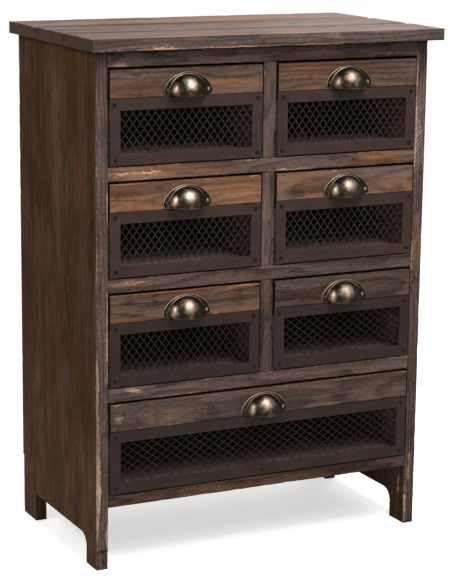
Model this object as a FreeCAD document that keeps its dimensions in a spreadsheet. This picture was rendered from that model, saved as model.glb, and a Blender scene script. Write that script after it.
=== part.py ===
import FreeCAD, Part
import os
import Sketcher
from FreeCAD import Vector

# Chest of seven drawers with mesh fronts, in millimetres.
# X runs left to right, Y from front to back and Z up. The origin is on the floor, midway between the
# sides and midway between the foremost and rearmost points.

doc = FreeCAD.newDocument("ChestOfDrawers")

# Driving dimensions: alias, value, meaning
DIMENSIONS = [
    ("body_width", 558, "over the outer faces of the sides"),
    ("body_depth", 313, "front edge to back edge of the sides"),
    ("plinth_height", 98, "floor to the underside of the bottom rail"),
    ("opening_height", 146, "height of every drawer opening"),
    ("bottom_rail_height", 18, "bottom rail, up and down"),
    ("rail_height", 21, "rails between the rows, up and down"),
    ("top_rail_height", 25, "top rail, up and down"),
    ("rail_depth", 40, "all rails, front to back"),
    ("side_thickness", 18, "side planks"),
    ("side_front_width", 105, "front plank of each side"),
    ("side_back_width", 101, "back plank of each side"),
    ("foot_height", 45, "floor to the cut-out in the sides"),
    ("front_foot_depth", 44, "front foot, front to back"),
    ("back_foot_depth", 54.5, "back foot, front to back"),
    ("cutout_radius", 20, "rounded corner of the cut-out at the front foot"),
    ("top_thickness", 18, "top planks"),
    ("top_side_overhang", 15, "top beyond each side"),
    ("top_front_overhang", 24, "top beyond the front"),
    ("top_back_overhang", 1, "top beyond the back panel"),
    ("top_front_width", 110, "front plank of the top"),
    ("top_back_width", 113, "back plank of the top"),
    ("edge_round", 1.5, "eased edges of the top and the sides"),
    ("back_thickness", 4, "back panel"),
    ("stile_width", 21, "centre stiles, left to right"),
    ("stile_depth", 18, "centre stiles, front to back"),
    ("stile_shift", 3.5, "centre stiles to the right of the middle"),
    ("runner_width", 14, "side runners, left to right"),
    ("runner_height", 18, "all runners, up and down"),
    ("centre_runner_width", 49, "centre runners, left to right"),
    ("guide_height", 12, "guide strips on the centre runners"),
    ("side_gap", 2.5, "drawer front to the opening's sides"),
    ("top_gap", 4, "drawer front to the rail above"),
    ("bottom_gap", 2, "drawer front to the rail below"),
    ("running_gap", 0.3, "drawer sides above their runners"),
    ("stop_gap", 0.3, "closed drawers to the back panel"),
    ("front_proud", 2, "closed drawer fronts before the stiles"),
    ("front_thickness", 18, "wooden strip of a drawer front"),
    ("strip_height", 42, "visible part of the wooden strip"),
    ("lip_height", 12, "rebated lip behind the metal frame"),
    ("frame_thickness", 2, "metal frame"),
    ("frame_width", 17, "members of the metal frame"),
    ("mesh_thickness", 1.2, "mesh sheet"),
    ("mesh_gap", 0.5, "mesh sheet to the wood round it"),
    ("mesh_rim", 2.5, "uncut rim of the mesh"),
    ("strand_width", 1.6, "strands of the mesh"),
    ("diamond_long", 16, "mesh pitch along the long diagonal"),
    ("diamond_short", 12, "mesh pitch along the short diagonal"),
    ("box_side_thickness", 12, "sides of a drawer box"),
    ("box_back_thickness", 10, "back of a drawer box"),
    ("box_side_drop", 8, "top of the front strip to the box sides"),
    ("box_bottom_thickness", 4, "bottom of a drawer box"),
    ("box_bottom_level", 6, "runner to the underside of the bottom"),
    ("groove_depth", 4, "grooves for the bottom in the sides"),
    ("batten_size", 12, "lower front batten of a drawer box"),
    ("pull_height", 32, "cup pull, base to top of the flange"),
    ("pull_lift", 3, "base of the pull above the strip's lower edge"),
    ("pull_corner", 5, "rounded lower corners of the flange"),
    ("pull_screw_pitch", 66, "between the two screws of a pull"),
    ("pull_screw_level", 7, "screws above the base of the pull"),
    ("flange_end", 8, "pull screw to the end of the flange"),
    ("flange_thickness", 1.4, "flange of the cup pull"),
    ("cup_end", 2, "pull screw to the end of the cup at its base"),
    ("cup_reach", 26, "cup before the drawer front"),
    ("cup_wall", 1.6, "wall of the cup"),
    ("frame_screw_cover", 3.5, "frame screw to the edge of the wood it is driven into"),
    ("frame_screw", 3, "shank of a frame screw"),
    ("frame_screw_head", 5.2, "head of a frame screw, across"),
    ("frame_screw_length", 12, "frame screw under its head"),
    ("pull_screw", 3.5, "shank of a pull screw"),
    ("pull_screw_head", 6.4, "head of a pull screw, across"),
    ("pull_screw_length", 14, "pull screw under its head"),
    ("screw_head_height", 1.4, "all screw heads"),
    ("screw_head_round", 0.9, "rounded rim of the screw heads"),
    ("nail", 1.8, "nail, across"),
    ("nail_length", 30, "nail"),
    ("nail_inset", 5.5, "nails from the ends of the strip"),
    ("nail_pitch", 9.5, "between nails, and from the strip's lower edge"),
    ("hole_clearance", 0.2, "holes larger than what goes through them, across"),
    ("hole_spare", 2, "blind holes deeper than what they hold"),
]

# Lengths this close are the same, and every cut takes more than this volume away
SAME_LENGTH = 0.01
LEAST_CUT = 0.001

sheet = doc.addObject("Spreadsheet::Sheet", "Sizes")
for line, (alias, value, meaning) in enumerate(DIMENSIONS, start=1):
    sheet.set("A%d" % line, meaning)
    sheet.set("B%d" % line, str(value))
    sheet.setAlias("B%d" % line, alias)
doc.recompute()


def size(alias):
    """Expression for one driving dimension."""
    return "Sizes." + alias


def number(expression):
    """Present value of an expression of the driving dimensions."""
    return float(sheet.evalExpression(str(expression)))


def total(*terms):
    """Expression for a sum of terms."""
    return " + ".join("(%s)" % term for term in terms)


def minus(first, *others):
    """Expression for the first term less all the others."""
    return " - ".join("(%s)" % term for term in (first,) + others)


def times(factor, term):
    """Expression for a term taken a number of times."""
    return "%s * (%s)" % (factor, term)


# Depths, from the front face of the stiles to the back edges of the sides
FRONT_REACH = total(size("front_proud"), size("cup_reach"))
BACK_REACH = total(size("body_depth"), size("back_thickness"), size("top_back_overhang"))
FACE_Y = times(0.5, minus(FRONT_REACH, BACK_REACH))
BACK_Y = total(FACE_Y, size("body_depth"))

# Places across
HALF_WIDTH = times(0.5, size("body_width"))
INNER_RIGHT = minus(HALF_WIDTH, size("side_thickness"))
INNER_LEFT = times(-1, INNER_RIGHT)
STILE_LEFT = minus(size("stile_shift"), times(0.5, size("stile_width")))
STILE_RIGHT = total(STILE_LEFT, size("stile_width"))

# Levels, with four rows of drawers
ROW_PITCH = total(size("opening_height"), size("rail_height"))
FIRST_LEVEL = total(size("plinth_height"), size("bottom_rail_height"))
TOP_RAIL_Z = minus(total(FIRST_LEVEL, times(4, ROW_PITCH)), size("rail_height"))
UNDER_TOP = total(TOP_RAIL_Z, size("top_rail_height"))


def row_level(row):
    """Underside of the drawer openings of a row, counted from 0 at the wide drawer."""
    return total(FIRST_LEVEL, times(row, ROW_PITCH))


def new_body(label, place):
    """Body with its origin at a place given by three expressions."""
    body = doc.addObject("PartDesign::Body", label)
    body.Label = label
    for axis, expression in zip("xyz", place):
        body.setExpression("Placement.Base." + axis, str(expression))
    return body


def origin_feature(body, role):
    """Base plane or axis of a body."""
    return next(item for item in body.Origin.OriginFeatures if item.Role == role)


def new_sketch(body, name, plane, offset=None):
    """Sketch on a base plane, moved along the plane's normal by an expression."""
    sketch = body.newObject("Sketcher::SketchObject", name)
    sketch.AttachmentSupport = [(origin_feature(body, plane), "")]
    sketch.MapMode = "FlatFace"
    if offset is not None:
        sketch.setExpression("AttachmentOffset.Base.z", offset)
    return sketch


def drive(sketch, kind, *references):
    """Dimension from references, the last of which is its expression."""
    expression = str(references[-1])
    index = sketch.addConstraint(Sketcher.Constraint(kind, *references[:-1], number(expression)))
    sketch.setExpression("Constraints[%d]" % index, expression)


def add_polygon(sketch, corners):
    """Closed outline through corners given as pairs of expressions."""
    points = [Vector(number(across), number(up), 0) for across, up in corners]
    first = sketch.GeometryCount
    count = len(points)
    for index in range(count):
        sketch.addGeometry(Part.LineSegment(points[index], points[(index + 1) % count]), False)
    for index in range(count):
        after = first + (index + 1) % count
        sketch.addConstraint(Sketcher.Constraint("Coincident", first + index, 2, after, 1))
    for index, (across, up) in enumerate(corners):
        drive(sketch, "DistanceX", -1, 1, first + index, 1, across)
        drive(sketch, "DistanceY", -1, 1, first + index, 1, up)


def add_rectangle(sketch, left, bottom, right, top):
    """Closed rectangle between four expressions."""
    add_polygon(sketch, [(left, bottom), (right, bottom), (right, top), (left, top)])


def add_circles(sketch, centres, diameter):
    """Equal circles at centres given as pairs of expressions."""
    for across, up in centres:
        middle = Vector(number(across), number(up), 0)
        curve = Part.Circle(middle, Vector(0, 0, 1), number(diameter) / 2)
        circle = sketch.addGeometry(curve, False)
        drive(sketch, "DistanceX", -1, 1, circle, 3, across)
        drive(sketch, "DistanceY", -1, 1, circle, 3, up)
        drive(sketch, "Diameter", circle, diameter)


def pad(body, sketch, length, reverse=False):
    """Solid pushed out of a sketch."""
    feature = body.newObject("PartDesign::Pad", sketch.Name + "_pad")
    feature.Profile = sketch
    feature.Reversed = reverse
    feature.setExpression("Length", length)
    return feature


def check_cut(body, before):
    """Stop where a cut took no material away."""
    doc.recompute()
    if not body.Shape.Volume < before - LEAST_CUT:
        raise RuntimeError("%s cuts nothing" % body.Tip.Name)


def pocket(body, sketch, length=None, reverse=False):
    """Cut from a sketch, to a length or through everything both ways."""
    doc.recompute()
    before = body.Shape.Volume
    feature = body.newObject("PartDesign::Pocket", sketch.Name + "_pocket")
    feature.Profile = sketch
    feature.Reversed = reverse
    if length is None:
        feature.Type = "ThroughAll"
        feature.Midplane = True
    else:
        feature.setExpression("Length", length)
    check_cut(body, before)
    return feature


def along(edge, axis):
    """Whether an edge is straight along one axis, 0 to 2."""
    box = edge.BoundBox
    spans = [box.XLength, box.YLength, box.ZLength]
    return all(span < SAME_LENGTH for place, span in enumerate(spans) if place != axis)


def fillet(body, base, accept, radius):
    """Rounded edges of a feature, picked by a test on the body's own coordinates."""
    doc.recompute()
    names = ["Edge%d" % place for place, edge in enumerate(base.Shape.Edges, start=1) if accept(edge)]
    if not names:
        raise RuntimeError("no edge of %s to round" % body.Label)
    feature = body.newObject("PartDesign::Fillet", body.Name + "_round%d" % len(body.Group))
    feature.Base = (base, names)
    feature.setExpression("Radius", radius)
    return feature


def block(label, place, width, depth, height, round_axis=None):
    """Rectangular piece from its left front lower corner, its edges along one axis eased."""
    body = new_body(label, place)
    sketch = new_sketch(body, label + "_outline", "XY_Plane")
    add_rectangle(sketch, "0", "0", width, depth)
    base = pad(body, sketch, height)
    if round_axis is not None:
        fillet(body, base, lambda edge: along(edge, round_axis), size("edge_round"))
    return body


def stack(body, feature, count):
    """Copies of a feature one row apart, upwards."""
    pattern = body.newObject("PartDesign::LinearPattern", body.Name + "_rows")
    pattern.Originals = [feature]
    pattern.Direction = (origin_feature(body, "Z_Axis"), [""])
    pattern.setExpression("Length", times(count - 1, ROW_PITCH))
    pattern.Occurrences = count
    body.Tip = pattern


def gather(label, members):
    """One node that holds separate solids."""
    group = doc.addObject("Part::Compound", label)
    group.Label = label
    group.Links = members
    return group


nodes = []

# Top: three planks butted edge to edge, with eased long edges
top_left = minus(times(-1, HALF_WIDTH), size("top_side_overhang"))
top_length = total(size("body_width"), times(2, size("top_side_overhang")))
top_start = minus(FACE_Y, size("top_front_overhang"))
top_depth = total(BACK_REACH, size("top_front_overhang"))
top_middle_width = minus(top_depth, size("top_front_width"), size("top_back_width"))
top_planks = [
    ("front", top_start, size("top_front_width")),
    ("middle", total(top_start, size("top_front_width")), top_middle_width),
    ("back", total(top_start, size("top_front_width"), top_middle_width), size("top_back_width")),
]
for place, start, width in top_planks:
    corner = (top_left, start, UNDER_TOP)
    nodes.append(block("top_%s_plank" % place, corner, top_length, width, size("top_thickness"), 0))

# Sides: three upright planks each, cut out below into a front and a back foot
front_width = size("side_front_width")
back_width = size("side_back_width")
middle_width = minus(size("body_depth"), front_width, back_width)
back_notch = minus(back_width, size("back_foot_depth"))
notch_top = size("foot_height")
side_outlines = {
    "front": [("0", "0"), (size("front_foot_depth"), "0"), (size("front_foot_depth"), notch_top),
              (front_width, notch_top), (front_width, UNDER_TOP), ("0", UNDER_TOP)],
    "middle": [("0", notch_top), (middle_width, notch_top), (middle_width, UNDER_TOP), ("0", UNDER_TOP)],
    "back": [("0", notch_top), (back_notch, notch_top), (back_notch, "0"),
             (back_width, "0"), (back_width, UNDER_TOP), ("0", UNDER_TOP)],
}
side_starts = {
    "front": FACE_Y,
    "middle": total(FACE_Y, front_width),
    "back": minus(BACK_Y, back_width),
}


def side_plank(side, place):
    """Upright plank of one side, its outer upright edges eased."""
    label = "%s_side_%s_plank" % (side, place)
    left = times(-1, HALF_WIDTH) if side == "left" else INNER_RIGHT
    body = new_body(label, (left, side_starts[place], "0"))
    sketch = new_sketch(body, label + "_outline", "YZ_Plane")
    add_polygon(sketch, side_outlines[place])
    last = pad(body, sketch, size("side_thickness"))

    notch_y = number(size("front_foot_depth"))
    notch_z = number(size("foot_height"))
    outer_x = 0 if side == "left" else number(size("side_thickness"))

    def at_notch(edge):
        middle = edge.CenterOfMass
        beside = abs(middle.y - notch_y) < SAME_LENGTH
        return along(edge, 0) and beside and abs(middle.z - notch_z) < SAME_LENGTH

    def outer_upright(edge):
        outside = abs(edge.CenterOfMass.x - outer_x) < SAME_LENGTH
        return along(edge, 2) and outside and edge.Length > notch_z + SAME_LENGTH

    if place == "front":
        last = fillet(body, last, at_notch, size("cutout_radius"))
    fillet(body, last, outer_upright, size("edge_round"))
    return body


for side in ("left", "right"):
    for place in ("front", "middle", "back"):
        nodes.append(side_plank(side, place))

# Rails between the sides
rail_length = minus(INNER_RIGHT, INNER_LEFT)
rails = [
    ("top_rail", TOP_RAIL_Z, size("top_rail_height")),
    ("upper_rail", minus(row_level(3), size("rail_height")), size("rail_height")),
    ("middle_rail", minus(row_level(2), size("rail_height")), size("rail_height")),
    ("lower_rail", minus(row_level(1), size("rail_height")), size("rail_height")),
    ("bottom_rail", size("plinth_height"), size("bottom_rail_height")),
]
for label, level, height in rails:
    corner = (INNER_LEFT, FACE_Y, level)
    nodes.append(block(label, corner, rail_length, size("rail_depth"), height))

# Centre stiles between the rails of the three upper rows
stiles = new_body("centre_stiles", (STILE_LEFT, FACE_Y, row_level(1)))
stile_outline = new_sketch(stiles, "stile_outline", "XY_Plane")
add_rectangle(stile_outline, "0", "0", size("stile_width"), size("stile_depth"))
stack(stiles, pad(stiles, stile_outline, size("opening_height")), 3)
nodes.append(stiles)

# Back panel over the back edges of the sides
panel_corner = (times(-1, HALF_WIDTH), BACK_Y, size("plinth_height"))
panel_height = minus(UNDER_TOP, size("plinth_height"))
nodes.append(block("back_panel", panel_corner, size("body_width"), size("back_thickness"), panel_height))

# Side runners, level with the tops of the rails, from the rails to the back panel
runner_start = total(FACE_Y, size("rail_depth"))
runner_length = minus(size("body_depth"), size("rail_depth"))
side_runners = new_body("side_runners", ("0", runner_start, minus(FIRST_LEVEL, size("runner_height"))))
runner_outline = new_sketch(side_runners, "runner_outline", "XY_Plane")
left_runner_edge = total(INNER_LEFT, size("runner_width"))
right_runner_edge = minus(INNER_RIGHT, size("runner_width"))
add_rectangle(runner_outline, INNER_LEFT, "0", left_runner_edge, runner_length)
add_rectangle(runner_outline, right_runner_edge, "0", INNER_RIGHT, runner_length)
stack(side_runners, pad(side_runners, runner_outline, size("runner_height")), 4)
nodes.append(side_runners)


def centre_strips(label, level, width, height):
    """Strips behind the centre stiles, one for each of the three upper rows."""
    left = minus(size("stile_shift"), times(0.5, width))
    body = new_body(label, (left, runner_start, level))
    outline = new_sketch(body, label + "_outline", "XY_Plane")
    add_rectangle(outline, "0", "0", width, runner_length)
    stack(body, pad(body, outline, height), 3)
    return body


# Centre runners, each with a guide strip on it in line with the centre stiles
under_runner = minus(row_level(1), size("runner_height"))
nodes.append(gather("centre_runners", [
    centre_strips("centre_boards", under_runner, size("centre_runner_width"), size("runner_height")),
    centre_strips("centre_guides", row_level(1), size("stile_width"), size("guide_height")),
]))

# Levels of a drawer's pieces above the underside of its opening
FRONT_TOP = minus(size("opening_height"), size("top_gap"))
STRIP_BOTTOM = minus(FRONT_TOP, size("strip_height"))
LIP_BOTTOM = minus(STRIP_BOTTOM, size("lip_height"))
FRAME_BOTTOM = size("bottom_gap")
BATTEN_TOP = total(FRAME_BOTTOM, size("batten_size"))
SIDE_TOP = minus(FRONT_TOP, size("box_side_drop"))
BOTTOM_TOP = total(size("box_bottom_level"), size("box_bottom_thickness"))
PULL_BASE = total(STRIP_BOTTOM, size("pull_lift"))

# Depths of a drawer's pieces behind the face of the stiles
STRIP_FACE = times(-1, size("front_proud"))
FRAME_BACK = total(STRIP_FACE, size("frame_thickness"))
STRIP_BACK = total(STRIP_FACE, size("front_thickness"))
BATTEN_BACK = total(FRAME_BACK, size("batten_size"))
BOX_BACK = minus(size("body_depth"), size("stop_gap"))

# Drawers: name, left and right side of the opening, row, and how the mesh lies
drawers = [
    ("row1_left", INNER_LEFT, STILE_LEFT, 3, "upright"),
    ("row1_right", STILE_RIGHT, INNER_RIGHT, 3, "upright"),
    ("row2_left", INNER_LEFT, STILE_LEFT, 2, "upright"),
    ("row2_right", STILE_RIGHT, INNER_RIGHT, 2, "upright"),
    ("row3_left", INNER_LEFT, STILE_LEFT, 1, "upright"),
    ("row3_right", STILE_RIGHT, INNER_RIGHT, 1, "lying"),
    ("wide", INNER_LEFT, INNER_RIGHT, 0, "lying"),
]


def frame_screw_places(width, wide):
    """Lower and upper screws at the frame's corners, and midway on the wide drawer."""
    inset = minus(size("box_side_thickness"), size("frame_screw_cover"))
    across = [inset, minus(width, inset)]
    if wide:
        across.append(times(0.5, width))
    low = minus(BATTEN_TOP, size("frame_screw_cover"))
    high = total(LIP_BOTTOM, size("frame_screw_cover"))
    return [(x, low) for x in across], [(x, high) for x in across]


def pull_screw_places(width):
    """Middles of the two screws of the pull."""
    level = total(PULL_BASE, size("pull_screw_level"))
    middle = times(0.5, width)
    half = times(0.5, size("pull_screw_pitch"))
    return [(minus(middle, half), level), (total(middle, half), level)]


def nail_places(width):
    """Three nails at each end of the strip."""
    ends = [size("nail_inset"), minus(width, size("nail_inset"))]
    levels = [total(STRIP_BOTTOM, times(count, size("nail_pitch"))) for count in (1, 2, 3)]
    return [(x, z) for x in ends for z in levels]


def hole(shank):
    """Diameter of the hole for a shank."""
    return total(size(shank), size("hole_clearance"))


def drawer_strip(label, place, width, wide):
    """Wooden strip with a rebated lip for the metal frame, drilled for its fasteners."""
    body = new_body(label, place)
    section = new_sketch(body, label + "_section", "YZ_Plane")
    add_polygon(section, [
        (STRIP_FACE, STRIP_BOTTOM), (FRAME_BACK, STRIP_BOTTOM), (FRAME_BACK, LIP_BOTTOM),
        (STRIP_BACK, LIP_BOTTOM), (STRIP_BACK, FRONT_TOP), (STRIP_FACE, FRONT_TOP)])
    pad(body, section, width)
    upper_screws = frame_screw_places(width, wide)[1]
    drillings = [
        ("_pull_holes", pull_screw_places(width), "pull_screw"),
        ("_frame_holes", upper_screws, "frame_screw"),
        ("_nail_holes", nail_places(width), "nail"),
    ]
    for suffix, places, shank in drillings:
        sketch = new_sketch(body, label + suffix, "XZ_Plane")
        add_circles(sketch, places, hole(shank))
        pocket(body, sketch)
    return body


def drawer_frame(label, place, width, wide):
    """Flat metal frame round the mesh, drilled for its screws."""
    body = new_body(label, place)
    member = size("frame_width")
    sketch = new_sketch(body, label + "_outline", "XZ_Plane", size("front_proud"))
    add_rectangle(sketch, "0", FRAME_BOTTOM, width, STRIP_BOTTOM)
    window_bottom = total(FRAME_BOTTOM, member)
    window_top = minus(STRIP_BOTTOM, member)
    add_rectangle(sketch, member, window_bottom, minus(width, member), window_top)
    pad(body, sketch, size("frame_thickness"), reverse=True)
    holes = new_sketch(body, label + "_holes", "XZ_Plane")
    lower, upper = frame_screw_places(width, wide)
    add_circles(holes, lower + upper, hole("frame_screw"))
    pocket(body, holes)
    return body


def diamond(middle_x, middle_z, half_x, half_z):
    """Face of one opening of the mesh."""
    left = Vector(middle_x - half_x, 0, middle_z)
    bottom = Vector(middle_x, 0, middle_z - half_z)
    right = Vector(middle_x + half_x, 0, middle_z)
    top = Vector(middle_x, 0, middle_z + half_z)
    return Part.Face(Part.makePolygon([left, bottom, right, top, left]))


def plate(left, bottom, right, top):
    """Upright rectangular face."""
    forward = Vector(0, -1, 0)
    corner = Vector(left, 0, bottom)
    return Part.makePlane(right - left, top - bottom, corner, forward, Vector(1, 0, 0))


def drawer_mesh(label, place, width, lie):
    """Expanded metal sheet: a plate with rows of diamonds inside an uncut rim."""
    left = number(total(size("box_side_thickness"), size("mesh_gap")))
    right = number(width) - left
    bottom = number(total(BATTEN_TOP, size("mesh_gap")))
    top = number(minus(LIP_BOTTOM, size("mesh_gap")))
    pitch_x = number(size("diamond_long" if lie == "lying" else "diamond_short"))
    pitch_z = number(size("diamond_short" if lie == "lying" else "diamond_long"))
    strand = number(size("strand_width"))
    rim = number(size("mesh_rim"))

    # Each diamond is smaller than its share of the sheet by half a strand all round
    diagonal = (pitch_x ** 2 + pitch_z ** 2) ** 0.5
    shrink = 1 - strand * diagonal / (pitch_x * pitch_z)
    half_x = pitch_x / 2 * shrink
    half_z = pitch_z / 2 * shrink
    middle_x = (left + right) / 2
    middle_z = (bottom + top) / 2
    reach_x = int((right - left) / pitch_x) + 1
    reach_z = int((top - bottom) / pitch_z) + 1
    diamonds = []
    for step_x in range(-reach_x, reach_x + 1):
        for step_z in range(-reach_z, reach_z + 1):
            if (step_x + step_z) % 2 == 0:
                x = middle_x + step_x * pitch_x / 2
                z = middle_z + step_z * pitch_z / 2
                diamonds.append(diamond(x, z, half_x, half_z))

    inside = plate(left + rim, bottom + rim, right - rim, top - rim)
    clipped = Part.makeCompound(diamonds).common(inside)
    openings = [face for face in clipped.Faces if face.Area > strand ** 2]
    outline = plate(left, bottom, right, top).cut(Part.makeCompound(openings))
    mesh = doc.addObject("Part::Feature", label)
    mesh.Label = label
    mesh.Shape = outline.Faces[0].extrude(Vector(0, number(size("mesh_thickness")), 0))
    mesh.setExpression("Placement.Base.x", place[0])
    mesh.setExpression("Placement.Base.y", total(place[1], FRAME_BACK))
    mesh.setExpression("Placement.Base.z", place[2])
    return mesh


def add_cup_outline(sketch, chord, rise):
    """Arc over the X axis closed by its chord."""
    half = number(chord) / 2
    height = number(rise)
    curve = Part.Arc(Vector(half, 0, 0), Vector(0, height, 0), Vector(-half, 0, 0))
    arc = sketch.addGeometry(curve, False)
    line = sketch.addGeometry(Part.LineSegment(Vector(-half, 0, 0), Vector(half, 0, 0)), False)
    sketch.addConstraint(Sketcher.Constraint("Coincident", arc, 2, line, 1))
    sketch.addConstraint(Sketcher.Constraint("Coincident", arc, 1, line, 2))
    sketch.addConstraint(Sketcher.Constraint("Symmetric", line, 1, line, 2, -1, 1))
    sketch.addConstraint(Sketcher.Constraint("Horizontal", line))
    drive(sketch, "DistanceX", line, 1, line, 2, chord)
    squares = "(pow((%s) / 2; 2) + pow(%s; 2))" % (chord, rise)
    drive(sketch, "Radius", arc, "%s / (2 * (%s))" % (squares, rise))


def add_flange_outline(sketch, width, height):
    """Ellipse about the sketch's origin, across and up."""
    curve = Part.Ellipse(Vector(0, 0, 0), number(width) / 2, number(height) / 2)
    ellipse = sketch.addGeometry(curve, False)
    sketch.exposeInternalGeometry(ellipse)
    across = ellipse + 1
    upward = ellipse + 2
    sketch.addConstraint(Sketcher.Constraint("Coincident", ellipse, 3, -1, 1))
    sketch.addConstraint(Sketcher.Constraint("Horizontal", across))
    drive(sketch, "Distance", across, width)
    drive(sketch, "Distance", upward, height)


def drawer_pull(label, place, width):
    """Cup pull: a quarter-round shell on a flat flange with a screw hole at each end."""
    middle = total(place[0], times(0.5, width))
    body = new_body(label, (middle, total(place[1], STRIP_FACE), total(place[2], PULL_BASE)))
    flange_width = total(size("pull_screw_pitch"), times(2, size("flange_end")))
    cup_width = minus(size("pull_screw_pitch"), times(2, size("cup_end")))

    # The flange is the upper half of an ellipse with rounded lower corners
    flange = new_sketch(body, label + "_flange", "XZ_Plane")
    add_flange_outline(flange, flange_width, times(2, size("pull_height")))
    pad(body, flange, size("flange_thickness"))
    lower_half = new_sketch(body, label + "_lower_half", "XZ_Plane")
    half_flange = times(0.5, flange_width)
    add_rectangle(lower_half, times(-1, flange_width), times(-2, size("pull_height")), flange_width, "0")
    trimmed = pocket(body, lower_half)
    corner_x = number(half_flange)

    def lower_corner(edge):
        at_end = abs(abs(edge.CenterOfMass.x) - corner_x) < SAME_LENGTH
        return along(edge, 1) and at_end and abs(edge.CenterOfMass.z) < SAME_LENGTH

    fillet(body, trimmed, lower_corner, size("pull_corner"))

    # The cup is an arc over its base line, turned a quarter round that line
    cup = new_sketch(body, label + "_cup", "XZ_Plane")
    add_cup_outline(cup, cup_width, size("cup_reach"))
    turn = body.newObject("PartDesign::Revolution", label + "_cup_turn")
    turn.Profile = cup
    turn.ReferenceAxis = (origin_feature(body, "X_Axis"), [""])
    turn.Angle = 90
    doc.recompute()
    before = body.Shape.Volume
    hollow = new_sketch(body, label + "_hollow", "XZ_Plane")
    wall = size("cup_wall")
    add_cup_outline(hollow, minus(cup_width, times(2, wall)), minus(size("cup_reach"), wall))
    groove = body.newObject("PartDesign::Groove", label + "_hollow_groove")
    groove.Profile = hollow
    groove.ReferenceAxis = (origin_feature(body, "X_Axis"), [""])
    groove.Angle = 180
    groove.Midplane = True
    check_cut(body, before)

    holes = new_sketch(body, label + "_holes", "XZ_Plane")
    half = times(0.5, size("pull_screw_pitch"))
    level = size("pull_screw_level")
    add_circles(holes, [(times(-1, half), level), (half, level)], hole("pull_screw"))
    pocket(body, holes)
    return body


def box_side(label, place, width, side):
    """Side of a drawer box, grooved for the bottom and drilled for its nails and screw."""
    thickness = size("box_side_thickness")
    groove_left = "0"
    nail_x = minus(thickness, size("nail_inset"))
    screw_x = size("frame_screw_cover")
    offset = minus(width, thickness)
    if side == "left":
        groove_left = minus(thickness, size("groove_depth"))
        nail_x = size("nail_inset")
        screw_x = minus(thickness, size("frame_screw_cover"))
        offset = "0"
    board = new_body(label, (total(place[0], offset), place[1], place[2]))
    outline = new_sketch(board, label + "_outline", "YZ_Plane")
    add_polygon(outline, [
        (FRAME_BACK, size("running_gap")), (BOX_BACK, size("running_gap")), (BOX_BACK, SIDE_TOP),
        (STRIP_BACK, SIDE_TOP), (STRIP_BACK, LIP_BOTTOM), (FRAME_BACK, LIP_BOTTOM)])
    pad(board, outline, thickness)

    groove = new_sketch(board, label + "_groove", "XY_Plane", size("box_bottom_level"))
    groove_right = total(groove_left, size("groove_depth"))
    add_rectangle(groove, groove_left, BATTEN_BACK, groove_right, BOX_BACK)
    pocket(board, groove, size("box_bottom_thickness"), reverse=True)

    nails = new_sketch(board, label + "_nail_holes", "XZ_Plane", times(-1, STRIP_BACK))
    left_nails = nail_places(width)[:3]
    add_circles(nails, [(nail_x, level) for end, level in left_nails], hole("nail"))
    nail_end = total(STRIP_FACE, size("nail_length"), size("hole_spare"))
    pocket(board, nails, minus(nail_end, STRIP_BACK))

    screw = new_sketch(board, label + "_screw_hole", "XZ_Plane", times(-1, FRAME_BACK))
    level = frame_screw_places(width, False)[0][0][1]
    add_circles(screw, [(screw_x, level)], hole("frame_screw"))
    screw_end = total(STRIP_FACE, size("frame_screw_length"), size("hole_spare"))
    pocket(board, screw, minus(screw_end, FRAME_BACK))
    return board


def drawer_box(label, place, width, wide):
    """Two sides, a back, a bottom in their grooves and a lower front batten."""
    thickness = size("box_side_thickness")
    inner_width = minus(width, times(2, thickness))
    inner_left = total(place[0], thickness)
    back_start = total(place[1], minus(BOX_BACK, size("box_back_thickness")))
    back_height = minus(SIDE_TOP, BOTTOM_TOP)
    back = block(label + "_back", (inner_left, back_start, total(place[2], BOTTOM_TOP)),
                 inner_width, size("box_back_thickness"), back_height)
    bottom_place = (minus(inner_left, size("groove_depth")), total(place[1], BATTEN_BACK),
                    total(place[2], size("box_bottom_level")))
    bottom = block(label + "_bottom", bottom_place, total(inner_width, times(2, size("groove_depth"))),
                   minus(BOX_BACK, BATTEN_BACK), size("box_bottom_thickness"))
    batten_place = (inner_left, total(place[1], FRAME_BACK), total(place[2], FRAME_BOTTOM))
    batten = block(label + "_batten", batten_place, inner_width, size("batten_size"), size("batten_size"))
    if wide:
        screw = new_sketch(batten, label + "_batten_screw_hole", "XZ_Plane")
        level = minus(size("batten_size"), size("frame_screw_cover"))
        add_circles(screw, [(times(0.5, inner_width), level)], hole("frame_screw"))
        pocket(batten, screw)
    return gather(label, [
        box_side(label + "_left", place, width, "left"),
        box_side(label + "_right", place, width, "right"),
        back,
        bottom,
        batten,
    ])


def drawer_fasteners(label, place, width, wide):
    """Screws and nails of one drawer, each a solid of its own."""
    body = new_body(label, place)
    lower, upper = frame_screw_places(width, wide)
    front = times(-1, STRIP_FACE)
    kinds = [
        ("frame_screw", lower + upper, front),
        ("pull_screw", pull_screw_places(width), total(front, size("flange_thickness"))),
    ]
    for kind, places, seat in kinds:
        heads = new_sketch(body, "%s_%s_heads" % (label, kind), "XZ_Plane", seat)
        add_circles(heads, places, size(kind + "_head"))
        last = pad(body, heads, size("screw_head_height"))
        rim_y = -number(total(seat, size("screw_head_height")))
        rim_radius = number(size(kind + "_head")) / 2

        def outer_rim(edge):
            curve = edge.Curve
            fits = hasattr(curve, "Radius") and abs(curve.Radius - rim_radius) < SAME_LENGTH
            flat = edge.BoundBox.YLength < SAME_LENGTH
            return fits and flat and abs(edge.BoundBox.YMin - rim_y) < SAME_LENGTH

        fillet(body, last, outer_rim, size("screw_head_round"))
        shanks = new_sketch(body, "%s_%s_shanks" % (label, kind), "XZ_Plane", seat)
        add_circles(shanks, places, size(kind))
        pad(body, shanks, size(kind + "_length"), reverse=True)
    nails = new_sketch(body, label + "_nails", "XZ_Plane", front)
    add_circles(nails, nail_places(width), size("nail"))
    pad(body, nails, size("nail_length"), reverse=True)
    return body


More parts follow.
